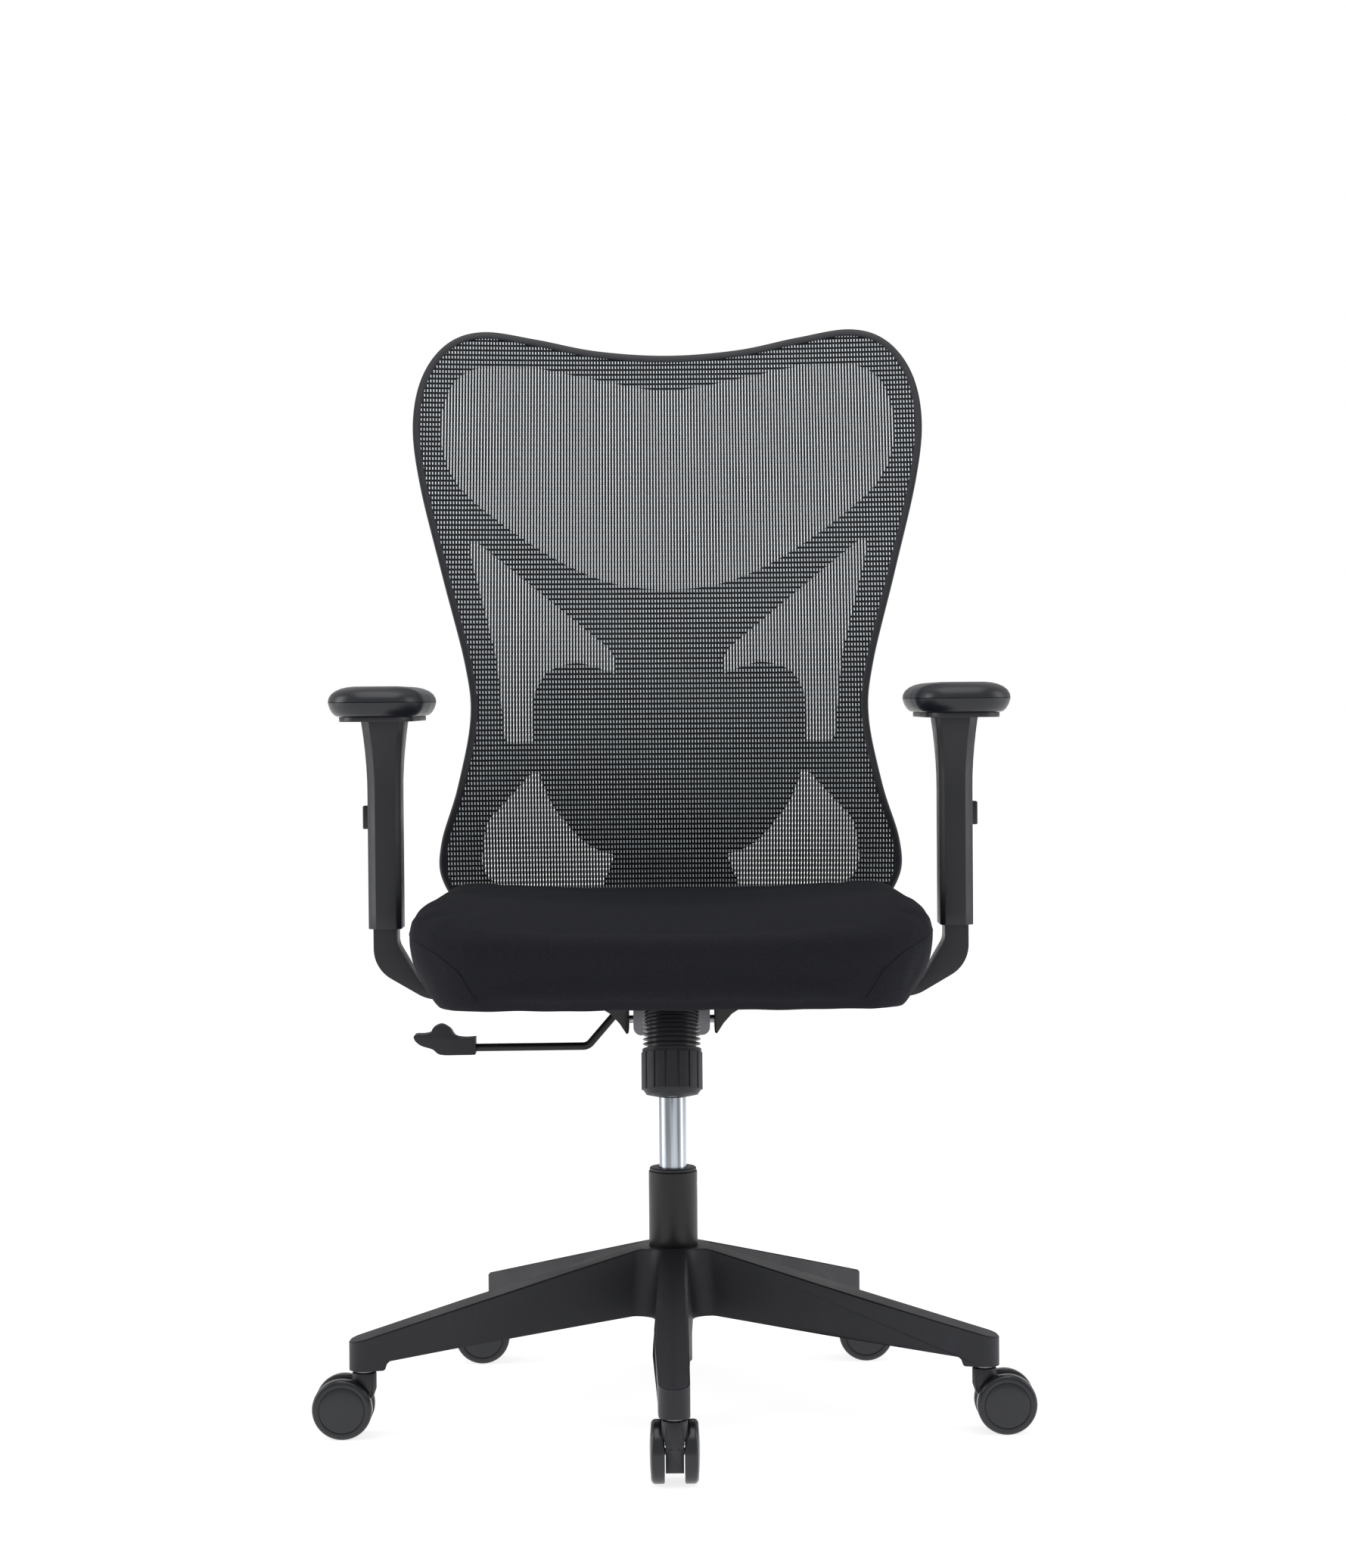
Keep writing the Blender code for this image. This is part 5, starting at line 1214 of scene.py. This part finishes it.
class ChairArms(bpy.types.Operator):
    """Build both armrests: bracket, faceted sleeve with its top plate, button and dished pad"""

    bl_idname = "chair.arms"
    bl_label = "Arms"

    def execute(self, context):
        for word, side in (("left", -1), ("right", 1)):
            self.bracket(word, side)
            self.sleeve(word, side)
            self.pad(word, side)
            button = softened(clean_copy(f"arm_button_{word}", f"height_button_{word}", arm_plastic()), 0.0006)
            carried(button, [f"arm_button_{word}"])
        return {"FINISHED"}

    def bracket(self, word, side):
        low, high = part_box(f"arm_bracket_{word}")
        a = settings().arms
        outer, inner, thick_foot = a.place_x + 0.012, a.place_x - 0.012, 0.012
        top = low.z + thick_foot
        outline = rounded([
            (side * 0.150, top, 0.0), (side * 0.150, low.z, 0.0), (side * (outer - 0.055), low.z, 0.040),
            (side * outer, low.z + 0.032, 0.036), (side * outer, high.z, 0.002), (side * inner, high.z, 0.002),
            (side * inner, top + 0.045, 0.020), (side * (inner - 0.026), top, 0.012),
        ], 12)
        made = softened(prism(f"arm_bar_{word}", [outline], low.y, high.y, "XZ", arm_plastic()), 0.0030, 4, 50.0)
        carried(made, [f"arm_bracket_{word}"])

    def sleeve(self, word, side):
        low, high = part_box(f"arm_sleeve_{word}")
        a = settings().arms
        plate = 0.0045
        top = high.z - plate
        half_t, half_w = SLEEVE_HALF
        middle = side * a.place_x
        rings = []
        for k in range(15):
            height = low.z + (top - low.z) * k / 14
            flare = SLEEVE_FLARE * max(0.0, (height - top + SLEEVE_FLARE_RISE) / SLEEVE_FLARE_RISE) ** 1.8
            t, w = half_t + flare, half_w + flare * 2
            section = [(-t, -w + 0.009), (-t + 0.0085, -w), (t - 0.0045, -w), (t, -w + 0.006),
                       (t, w - 0.006), (t - 0.0045, w), (-t + 0.0085, w), (-t, w - 0.009)]
            rings.append([(middle - side * x, a.place_y + y, height) for x, y in section])
        body = loft(f"arm_post_{word}", rings, arm_plastic())
        slack = 0.0004
        slot_x, slot_y = SLOT_HALF
        hollow = prism("arm_slot", [[(middle - slot_x, a.place_y - slot_y), (middle + slot_x, a.place_y - slot_y),
                                     (middle + slot_x, a.place_y + slot_y), (middle - slot_x, a.place_y + slot_y)]],
                       low.z - 0.01, top - 0.008)
        button_low, button_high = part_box(f"arm_button_{word}")
        reach = sorted((middle, side * (a.place_x + 0.05)))
        window = prism("arm_window", [[(reach[0], button_low.y - slack), (reach[1], button_low.y - slack),
                                       (reach[1], button_high.y + slack), (reach[0], button_high.y + slack)]],
                       button_low.z - slack, button_high.z + slack)
        body = merged(body, [hollow, window], "DIFFERENCE")
        body = softened(body, 0.0006, 2, 15.0)
        carried(body, [f"arm_sleeve_{word}"])
        plate_outline = self.pad_outline(side, 0.0110, 10)
        under = prism(f"arm_plate_{word}", [plate_outline], top - 0.0005, high.z, "XY", arm_plastic())
        carried(softened(under, 0.0010, 2, 50.0), [f"arm_sleeve_{word}"])

    def pad_outline(self, side, distance, steps):
        a = settings().arms
        half, long = a.pad_half, a.pad_length / 2
        corners = [(-half, -long, 0.040), (half, -long, 0.040), (half, long, 0.040), (-half, long, 0.040)]
        return [(side * a.place_x + x, a.place_y - 0.012 + y) for x, y in inset(rounded(corners, steps), distance)]

    def pad(self, word, side):
        low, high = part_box(f"arm_pad_{word}")
        a = settings().arms
        rise = high.z - low.z
        rings = []
        for share_up, distance in ((0.0, 0.0090), (0.03, 0.0070), (0.12, 0.0042), (0.26, 0.0018), (0.40, 0.0004),
                                   (0.455, 0.0), (0.465, 0.0007), (0.475, 0.0), (0.60, 0.0007), (0.74, 0.0032),
                                   (0.85, 0.0075), (0.93, 0.0130), (0.98, 0.0195), (1.0, 0.0260)):
            rings.append([(x, y, low.z + rise * share_up) for x, y in self.pad_outline(side, distance, 12)])
        middle_x, middle_y = side * a.place_x, a.place_y - 0.012
        for shrink in (0.8, 0.55, 0.3, 0.1):
            rings.append([(middle_x + (x - middle_x) * shrink, middle_y + (y - middle_y) * shrink,
                           high.z - a.pad_dish * (1 - shrink**2)) for x, y, _ in rings[13]])
        made = shaded(loft(f"arm_cushion_{word}", rings, pad_finish()), 50.0)
        carried(made, [f"arm_pad_{word}"])


# ---------------------------------------------------------------- mechanism
KNOB_RIBS = 16
LEVER_MIDDLE_X = -0.2307
PADDLE = [(0.0326, -0.0140), (0.0326, -0.0070), (0.0326, 0.0020), (0.0180, 0.0020), (0.0080, 0.0040),
          (0.0030, 0.0110), (-0.0060, 0.0160), (-0.0140, 0.0130), (-0.0170, 0.0080), (-0.0240, 0.0062),
          (-0.0330, 0.0058), (-0.0335, 0.0010), (-0.0270, -0.0050), (-0.0150, -0.0090), (-0.0070, -0.0145),
          (0.0120, -0.0150)]


def sleeve_place():
    """Z up along the leaning tension sleeve, with the origin at the middle of its top."""
    joint = JOINTS["knob_turn"]
    return Matrix.Translation(joint["pos_m"]) @ Vector(joint["axis"]).to_track_quat("Z", "Y").to_matrix().to_4x4()


class ChairMechanism(bpy.types.Operator):
    """Build the tilt housing, seat plate, ringed sleeve, ribbed tension knob and height lever"""

    bl_idname = "chair.mechanism"
    bl_label = "Mechanism"

    def execute(self, context):
        housing = softened(clean_copy("mechanism_housing", "tilt_housing", paint()), 0.0007)
        carried(housing, ["mechanism_housing"])
        plate = softened(clean_copy("seat_plate", "tilt_plate", black_steel()), 0.0005)
        carried(plate, ["seat_plate"])
        self.sleeve()
        self.knob()
        self.lever()
        return {"FINISHED"}

    def sleeve(self):
        place = sleeve_place()
        outer, root, long = 0.0288, 0.0238, 0.050
        core_r = outer - 0.0046
        core = lathe("sleeve_core", [(core_r, 0.0), (core_r, -long), (root, -long), (root, 0.0)], None, 72)
        ring = lathe("spring_sleeve", [(outer - 0.0049, -0.0008), (outer - 0.0008, -0.0008), (outer, -0.0015),
                                       (outer - 0.0008, -0.0022), (outer - 0.0049, -0.0022)], None, 72)
        grown(ring, ring_tree(), {"Count": 12, "Pitch": 0.0030, "Growth": 0.00010, "Turn": 0.0,
                                  "Finish": arm_plastic()})
        joined(ring, core, arm_plastic())
        ring.data.transform(place)
        carried(shaded(ring, 50.0), ["thread_sleeve"])

    def knob(self):
        place = sleeve_place()
        radius, top, long = 0.0303, -0.0415, 0.0480
        foot = top - long
        core = lathe("knob_core", [
            (radius - 0.0022, top), (radius - 0.0013, top - 0.0006), (radius - 0.0010, top - 0.0020),
            (radius - 0.0010, foot + 0.0085), (radius * 0.84, foot + 0.0030), (0.0125, foot + 0.0004),
            (0.0105, foot + 0.0002), (0.0098, foot + 0.0012), (0.0053, foot + 0.0012), (0.0053, foot + 0.0150),
            (0.0292, foot + 0.0150), (0.0292, top),
        ], None, 96)
        wide = 2 * math.pi * radius / KNOB_RIBS - 0.0016
        inner, proud = radius - 0.0016, radius - 0.00015
        ridge = rounded([(-wide / 2, inner, 0.0), (-wide / 2 + 0.0003, proud, 0.0004),
                         (wide / 2 - 0.0003, proud, 0.0004), (wide / 2, inner, 0.0)], 2)
        rib = prism("tension_grip", [ridge], foot + 0.0080, top - 0.0040)
        softened(rib, 0.0004, 1, 50.0)
        grown(rib, ring_tree(), {"Count": KNOB_RIBS, "Pitch": 0.0, "Growth": 0.0,
                                 "Turn": 2 * math.pi / KNOB_RIBS, "Finish": plastic()})
        joined(rib, core, plastic())
        rib.data.transform(place)
        carried(shaded(rib, 35.0), ["tension_knob"])

    def lever(self):
        wall_x = -0.0385
        pivot = JOINTS["lever_lift"]["pos_m"]
        z = pivot[2]
        end_x, end_z = wall_x - 0.1900, z - 0.0450
        route = rounded([(0.019, z, 0.0), (wall_x - 0.0095, z, 0.011), (wall_x - 0.0480, z - 0.0443, 0.011),
                         (end_x, end_z, 0.0)], 8)
        rod_points = [(x, 0.0, height) for x, height in route]
        shaft = tube_along("lever_shaft", rod_points, 0.0040, black_steel(), 24)
        carried(shaft, ["lever_rod"])
        low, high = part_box("lever_handle")
        middle_z = high.z - 0.0160
        outline = smooth_outline([(x + LEVER_MIDDLE_X, middle_z + rise) for x, rise in PADDLE], 4)
        outline = [(min(high.x, max(low.x, x)), min(high.z, max(low.z, height))) for x, height in outline]
        handle = prism("lever_paddle", [outline], low.y, high.y, "XZ", plastic())
        handle = softened(handle, 0.0030, 4, 50.0)
        carried(handle, ["lever_handle"])


def joined(target, other, finish):
    """Adds the other mesh to the target's as it is, and removes the other."""
    shape = bmesh.new()
    shape.from_mesh(target.data)
    shape.from_mesh(other.data)
    bpy.data.objects.remove(other, do_unlink=True)
    shape.to_mesh(target.data)
    shape.free()
    target.data.materials.clear()
    target.data.materials.append(finish)
    for face in target.data.polygons:
        face.material_index = 0
    return target


# ---------------------------------------------------------------- lift
class ChairLift(bpy.types.Operator):
    """Build the lift's black tube with its bushing lip, and the chromed cylinder"""

    bl_idname = "chair.lift"
    bl_label = "Gas lift"

    def execute(self, context):
        low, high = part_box("column_tube")
        radius, wall = (high.x - low.x) / 2, 0.0018
        tube = lathe("lift_tube", [
            (radius - 0.0006, high.z), (radius, high.z - 0.0006), (radius, 0.105), (0.0190, 0.0968), (0.0185, 0.0960),
            (0.0185, low.z + 0.0008), (0.0178, low.z), (0.0054, low.z), (0.0054, low.z + 0.0035),
            (0.0167, low.z + 0.0035), (0.0167, 0.098), (radius - wall, 0.106), (radius - wall, high.z),
        ], black_steel())
        hole_z = high.z - 0.0140
        hole = rod("tube_hole", (radius - 0.008, 0.0, hole_z), (radius + 0.008, 0.0, hole_z), 0.0030, 32)
        tube = merged(tube, [hole], "DIFFERENCE")
        carried(shaded(tube, 40.0), ["column_tube"])

        low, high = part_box("column_bushing")
        edge = radius - 0.0010
        inner = 0.0144
        bushing = lathe("lift_bushing", [
            (edge, high.z - 0.0031), (edge, high.z - 0.0010), (edge - 0.0010, high.z), (inner + 0.0010, high.z),
            (inner, high.z - 0.0010), (inner, low.z), (radius - wall - 0.0003, low.z),
            (radius - wall - 0.0003, high.z - 0.0031),
        ], plastic())
        carried(shaded(bushing, 40.0), ["column_bushing"])

        low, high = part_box("gas_cylinder")
        bore = 0.0118
        cylinder = lathe("lift_cylinder", [
            (0.0130, high.z), (0.0140, high.z - 0.0020), (0.0140, low.z + 0.0010), (0.0130, low.z), (0.0054, low.z),
            (0.0054, low.z + 0.006), (bore, low.z + 0.006), (bore, high.z - 0.025), (0.0044, high.z - 0.020),
            (0.0044, high.z),
        ], chrome())
        carried(shaded(cylinder, 40.0), ["gas_cylinder"])
        return {"FINISHED"}


# ---------------------------------------------------------------- base
def star_outline(leg_half, tip_r, corner_r, reach):
    """The plan of five legs: straight sides, round tips and a fillet in each corner between two legs."""
    step = 2 * math.pi / LEG_COUNT
    centre_r = (leg_half + corner_r) / math.sin(step / 2)
    points = []
    for leg in range(LEG_COUNT):
        spin = Matrix.Rotation(leg * step - math.pi / 2, 2)
        points += [tuple(spin @ Vector(point)) for point in arc((reach, 0.0), tip_r, -82, 82, 18)]
        between = spin @ Matrix.Rotation(step / 2, 2)
        spread = 90 - math.degrees(step / 2)
        fillet = arc((centre_r, 0.0), corner_r, 180 + spread, 180 - spread, 12)
        points += [tuple(between @ Vector(point)) for point in fillet]
    return points


class ChairBase(bpy.types.Operator):
    """Build the moulded five-leg base, with a top strip that stands on a narrow ledge"""

    bl_idname = "chair.base"
    bl_label = "Star base"

    def leg_half(self, height):
        s = settings().base
        return 0.0132 + 0.0060 * (s.hub_top - height) / (s.hub_top - s.hub_foot)

    def leg_top(self, radius):
        s = settings().base
        return s.hub_top - (radius - s.hub_radius) * (s.hub_top - s.tip_top) / (s.leg_reach - s.hub_radius)

    def star(self, name, shy, lower):
        """The legs' plan drawn in by shy, under a top line that is lower by lower."""
        s = settings().base
        rings = []
        for height in (s.socket_foot - 0.03, s.hub_top + 0.02):
            outline = star_outline(self.leg_half(height) - shy, s.tip_radius - shy, 0.020 + shy, s.leg_reach)
            rings.append([(x, y, height) for x, y in outline])
        star = loft(name, rings, plastic())
        rim, neck = s.leg_reach + 0.04, s.leg_reach - s.tip_radius - 0.001
        side_view = lathe("side_view", [
            (0.0, s.hub_top - lower), (s.hub_radius, s.hub_top - lower), (rim, self.leg_top(rim) - lower),
            (rim, s.socket_foot), (neck, s.socket_foot), (neck - 0.0018, s.socket_foot + 0.0015),
            (neck - 0.0035, s.socket_foot + 0.0065), (neck - 0.0065, s.socket_foot + 0.0090),
            (s.hub_radius + 0.012, s.hub_foot), (0.0, s.hub_foot),
        ], None, 200)
        return merged(star, [side_view], "INTERSECT")

    def execute(self, context):
        s = settings().base
        star = self.star("star_moulding", 0.0, s.ledge)
        strip = self.star("leg_strip", s.ledge, 0.0)
        star = merged(star, [strip], "UNION")
        cutters = [rod("column_seat", (0, 0, 0), (0, 0, 0.3), 0.0253, 96)]
        for leg in range(5):
            turn = leg * 2 * math.pi / 5 - math.pi / 2
            spin = Matrix.Rotation(turn, 4, "Z")
            low, rings = s.socket_foot - 0.01, []
            for radius, top_half, low_half in ((0.037, self.leg_half(s.hub_top), self.leg_half(low)),
                                               (s.leg_reach - s.tip_radius - 0.004, s.tip_radius, s.tip_radius)):
                top = self.leg_top(radius) - 0.004
                section = [(-low_half + 0.004, low), (low_half - 0.004, low), (top_half - 0.004, top),
                           (-top_half + 0.004, top)]
                rings.append([spin @ Vector((radius, y, z)) for y, z in section])
            cutters.append(loft("leg_pocket", rings))
            at = spin @ Vector((s.leg_reach, 0.0, 0.0))
            cutters.append(rod("stem_socket", at, at + Vector((0, 0, s.socket_foot + 0.028)), 0.0058, 32))
        star = merged(star, cutters, "DIFFERENCE")
        star = softened(star, 0.0008, 2, 25.0)
        carried(star, ["star_base"])
        return {"FINISHED"}


class ChairCasters(bpy.types.Operator):
    """Build the five twin-wheel casters: swivel body and domed wheels"""

    bl_idname = "chair.casters"
    bl_label = "Casters"

    def execute(self, context):
        for number in range(1, 6):
            self.body(number)
            for side, word in ((-1, "a"), (1, "b")):
                self.wheel(number, side, word)
        return {"FINISHED"}

    def axes(self, number):
        """The caster's own frame: X along its trail, Y along its axle, Z up through its stem."""
        stem = Vector(JOINTS[f"caster_swivel_{number}"]["pos_m"])
        axle = Vector(JOINTS[f"wheel_spin_{number}_a"]["axis"]).normalized()
        trail = axle.cross(Vector((0, 0, 1))).normalized()
        turn = Matrix((trail, axle, Vector((0, 0, 1)))).transposed().to_4x4()
        return Matrix.Translation((stem.x, stem.y, 0.0)) @ turn

    def wheel(self, number, side, word):
        s = settings().base
        joint = JOINTS[f"wheel_spin_{number}_{word}"]
        outward = Vector(joint["axis"]) * side
        place = Matrix.Translation(joint["pos_m"]) @ outward.to_track_quat("Z", "Y").to_matrix().to_4x4()
        r, h = s.wheel_radius, s.wheel_width / 2
        wheel = lathe(f"wheel_{number}_{word}", [
            (0.0, h), (0.006, h - 0.00005), (0.012, h - 0.00025), (0.017, h - 0.0006), (0.0212, h - 0.0010),
            (0.0221, h - 0.0013), (0.0224, h - 0.0022), (0.0230, h - 0.0022), (0.0233, h - 0.0014),
            (0.0242, h - 0.0011), (0.0262, h - 0.0013), (0.0282, h - 0.0021), (0.0294, h - 0.0034),
            (r, h - 0.0052), (r, -h + 0.0016), (0.0296, -h + 0.0005), (0.0288, -h), (0.0240, -h),
            (0.0230, -h + 0.0030), (0.0090, -h + 0.0030), (0.0080, -h), (0.0039, -h), (0.0039, h - 0.0030),
            (0.0, h - 0.0030),
        ], smooth_plastic(), 96, place)
        carried(shaded(wheel, 50.0), [f"caster_wheel_{number}_{word}"])

    def body(self, number):
        s = settings().base
        place = self.axes(number)
        low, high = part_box(f"caster_body_{number}")
        top, neck = high.z, 0.0122
        body = lathe(f"caster_yoke_{number}", [
            (0.0, top), (neck - 0.0012, top), (neck - 0.0003, top - 0.0004), (neck, top - 0.0012),
            (neck, top - 0.016), (neck - 0.002, top - 0.022), (neck - 0.005, top - 0.028), (0.0, top - 0.028),
        ], plastic(), 64)
        half = 0.0086
        cheek_outline = (arc((s.trail, s.wheel_radius), 0.0205, -110, 80, 24)
                         + [(neck * 0.5, top - 0.004), (-neck * 0.8, top - 0.006), (-neck * 0.8, top - 0.022)])
        cheek = prism("cheek", [cheek_outline], -half, half, "XZ")
        body = merged(body, [cheek], "UNION")
        wheel_at = Vector((s.trail, 0.0, s.wheel_radius))
        cutters = [rod("pivot", (0, 0, top - 0.017), (0, 0, top + 0.01), 0.0049, 32),
                   rod("bore", wheel_at - Vector((0, 0.03, 0)), wheel_at + Vector((0, 0.03, 0)), 0.0038, 32)]
        for side in (-1, 1):
            inner = wheel_at + Vector((0, side * 0.0092, 0))
            cutters.append(rod("wheel_room", inner, inner + Vector((0, side * 0.02, 0)), s.wheel_radius + 0.0010, 96))
        body = merged(body, cutters, "DIFFERENCE")
        body = softened(body, 0.0004, 2, 25.0)
        body.data.transform(place)
        carried(body, [f"caster_body_{number}"])


class ChairSmallParts(bpy.types.Operator):
    """Give the carried-over CAD parts their finishes"""

    bl_idname = "chair.small_parts"
    bl_label = "Small parts"

    def execute(self, context):
        wanted = {"lever_bushing": plastic, "release_pin": plain_steel, "tilt_axle": plain_steel,
                  "tension_bolt": plain_steel, "spring_plate": plain_steel, "tension_spring": plain_steel,
                  "piston_rod": plain_steel, "thrust_bearing": plain_steel, "retaining_clip": plain_steel}
        for number in range(1, 6):
            wanted[f"caster_stem_{number}"] = plain_steel
            wanted[f"caster_axle_{number}"] = plain_steel
        for node, finish in wanted.items():
            NODES[node].data.materials.clear()
            NODES[node].data.materials.append(finish())
        return {"FINISHED"}


# ---------------------------------------------------------------- stage
class ChairStage(bpy.types.Operator):
    """Set the pale floor, the soft studio light and the camera"""

    bl_idname = "chair.stage"
    bl_label = "Stage"

    def execute(self, context):
        s = settings().stage
        scene = context.scene
        scene.view_settings.view_transform = "Standard"
        shape = bmesh.new()
        bmesh.ops.create_grid(shape, x_segments=1, y_segments=1, size=30.0)
        made, _, shader = finish_base("pale floor", (0.42, 0.42, 0.42), 0.9, specular=0.0)
        shader.inputs["Emission Color"].default_value = (1.0, 1.0, 1.0, 1.0)
        shader.inputs["Emission Strength"].default_value = s.floor_glow
        floor = from_shape("studio_floor", shape, made)

        world = bpy.data.worlds.new("studio")
        world.use_nodes = True
        tree = world.node_tree
        sky = tree.nodes["Background"]
        seen = tree.nodes.new("ShaderNodeLightPath")
        level = tree.nodes.new("ShaderNodeMapRange")
        level.inputs["To Min"].default_value = s.sky
        level.inputs["To Max"].default_value = 1.0
        tree.links.new(seen.outputs["Is Camera Ray"], level.inputs["Value"])
        tree.links.new(level.outputs["Result"], sky.inputs["Strength"])
        sky.inputs["Color"].default_value = (1.0, 1.0, 1.0, 1.0)
        scene.world = world

        self.softbox("left_box", (-2.4, -0.1, 1.2), (0, 0, 0.6), 0.9, 2.2, s.side_light)
        self.softbox("right_box", (2.4, -0.1, 1.2), (0, 0, 0.6), 0.9, 2.2, s.side_light * 0.7)
        self.softbox("top_box", (0.0, -0.6, 3.0), (0, 0, 0.4), 2.4, 2.4, s.top_light)

        data = bpy.data.cameras.new("studio_camera")
        data.lens = s.lens
        camera = bpy.data.objects.new("studio_camera", data)
        scene.collection.objects.link(camera)
        look = Matrix.Rotation(math.pi / 2 - s.pitch, 4, "X") @ Matrix.Rotation(s.roll, 4, "Z")
        camera.matrix_world = Matrix.Translation((s.camera_shift, -s.camera_distance, s.camera_height)) @ look
        scene.camera = camera
        return {"FINISHED"}

    def softbox(self, name, at, target, wide, tall, watts):
        data = bpy.data.lights.new(name, "AREA")
        data.shape = "RECTANGLE"
        data.size, data.size_y = wide, tall
        data.energy = watts
        lamp = bpy.data.objects.new(name, data)
        bpy.context.scene.collection.objects.link(lamp)
        run = Vector(target) - Vector(at)
        lamp.matrix_world = Matrix.Translation(at) @ run.to_track_quat("-Z", "Y").to_matrix().to_4x4()


# ---------------------------------------------------------------- panel
STEPS = [ChairBackFrame, ChairNet, ChairLumbar, ChairSeat, ChairArms, ChairMechanism, ChairLift, ChairBase,
         ChairCasters, ChairSmallParts, ChairStage]


class ChairPanel(bpy.types.Panel):
    """Buttons for each group of pieces"""

    bl_idname = "VIEW3D_PT_chair_looks"
    bl_label = "Office chair"
    bl_space_type = "VIEW_3D"
    bl_region_type = "UI"
    bl_category = "Chair"

    def draw(self, context):
        for step in STEPS:
            self.layout.operator(step.bl_idname)


CLASSES = [FinishSettings, BackSettings, NetSettings, SeatSettings, BaseSettings, ArmSettings, StageSettings,
           ChairSettings, *STEPS, ChairPanel]


def register():
    for made in CLASSES:
        bpy.utils.register_class(made)
    bpy.types.Scene.chair_looks = bpy.props.PointerProperty(type=ChairSettings)


def unregister():
    del bpy.types.Scene.chair_looks
    for made in reversed(CLASSES):
        bpy.utils.unregister_class(made)


def main():
    register()
    for step in STEPS:
        group, action = step.bl_idname.split(".")
        getattr(getattr(bpy.ops, group), action)()


if __name__ == "__main__":
    main()
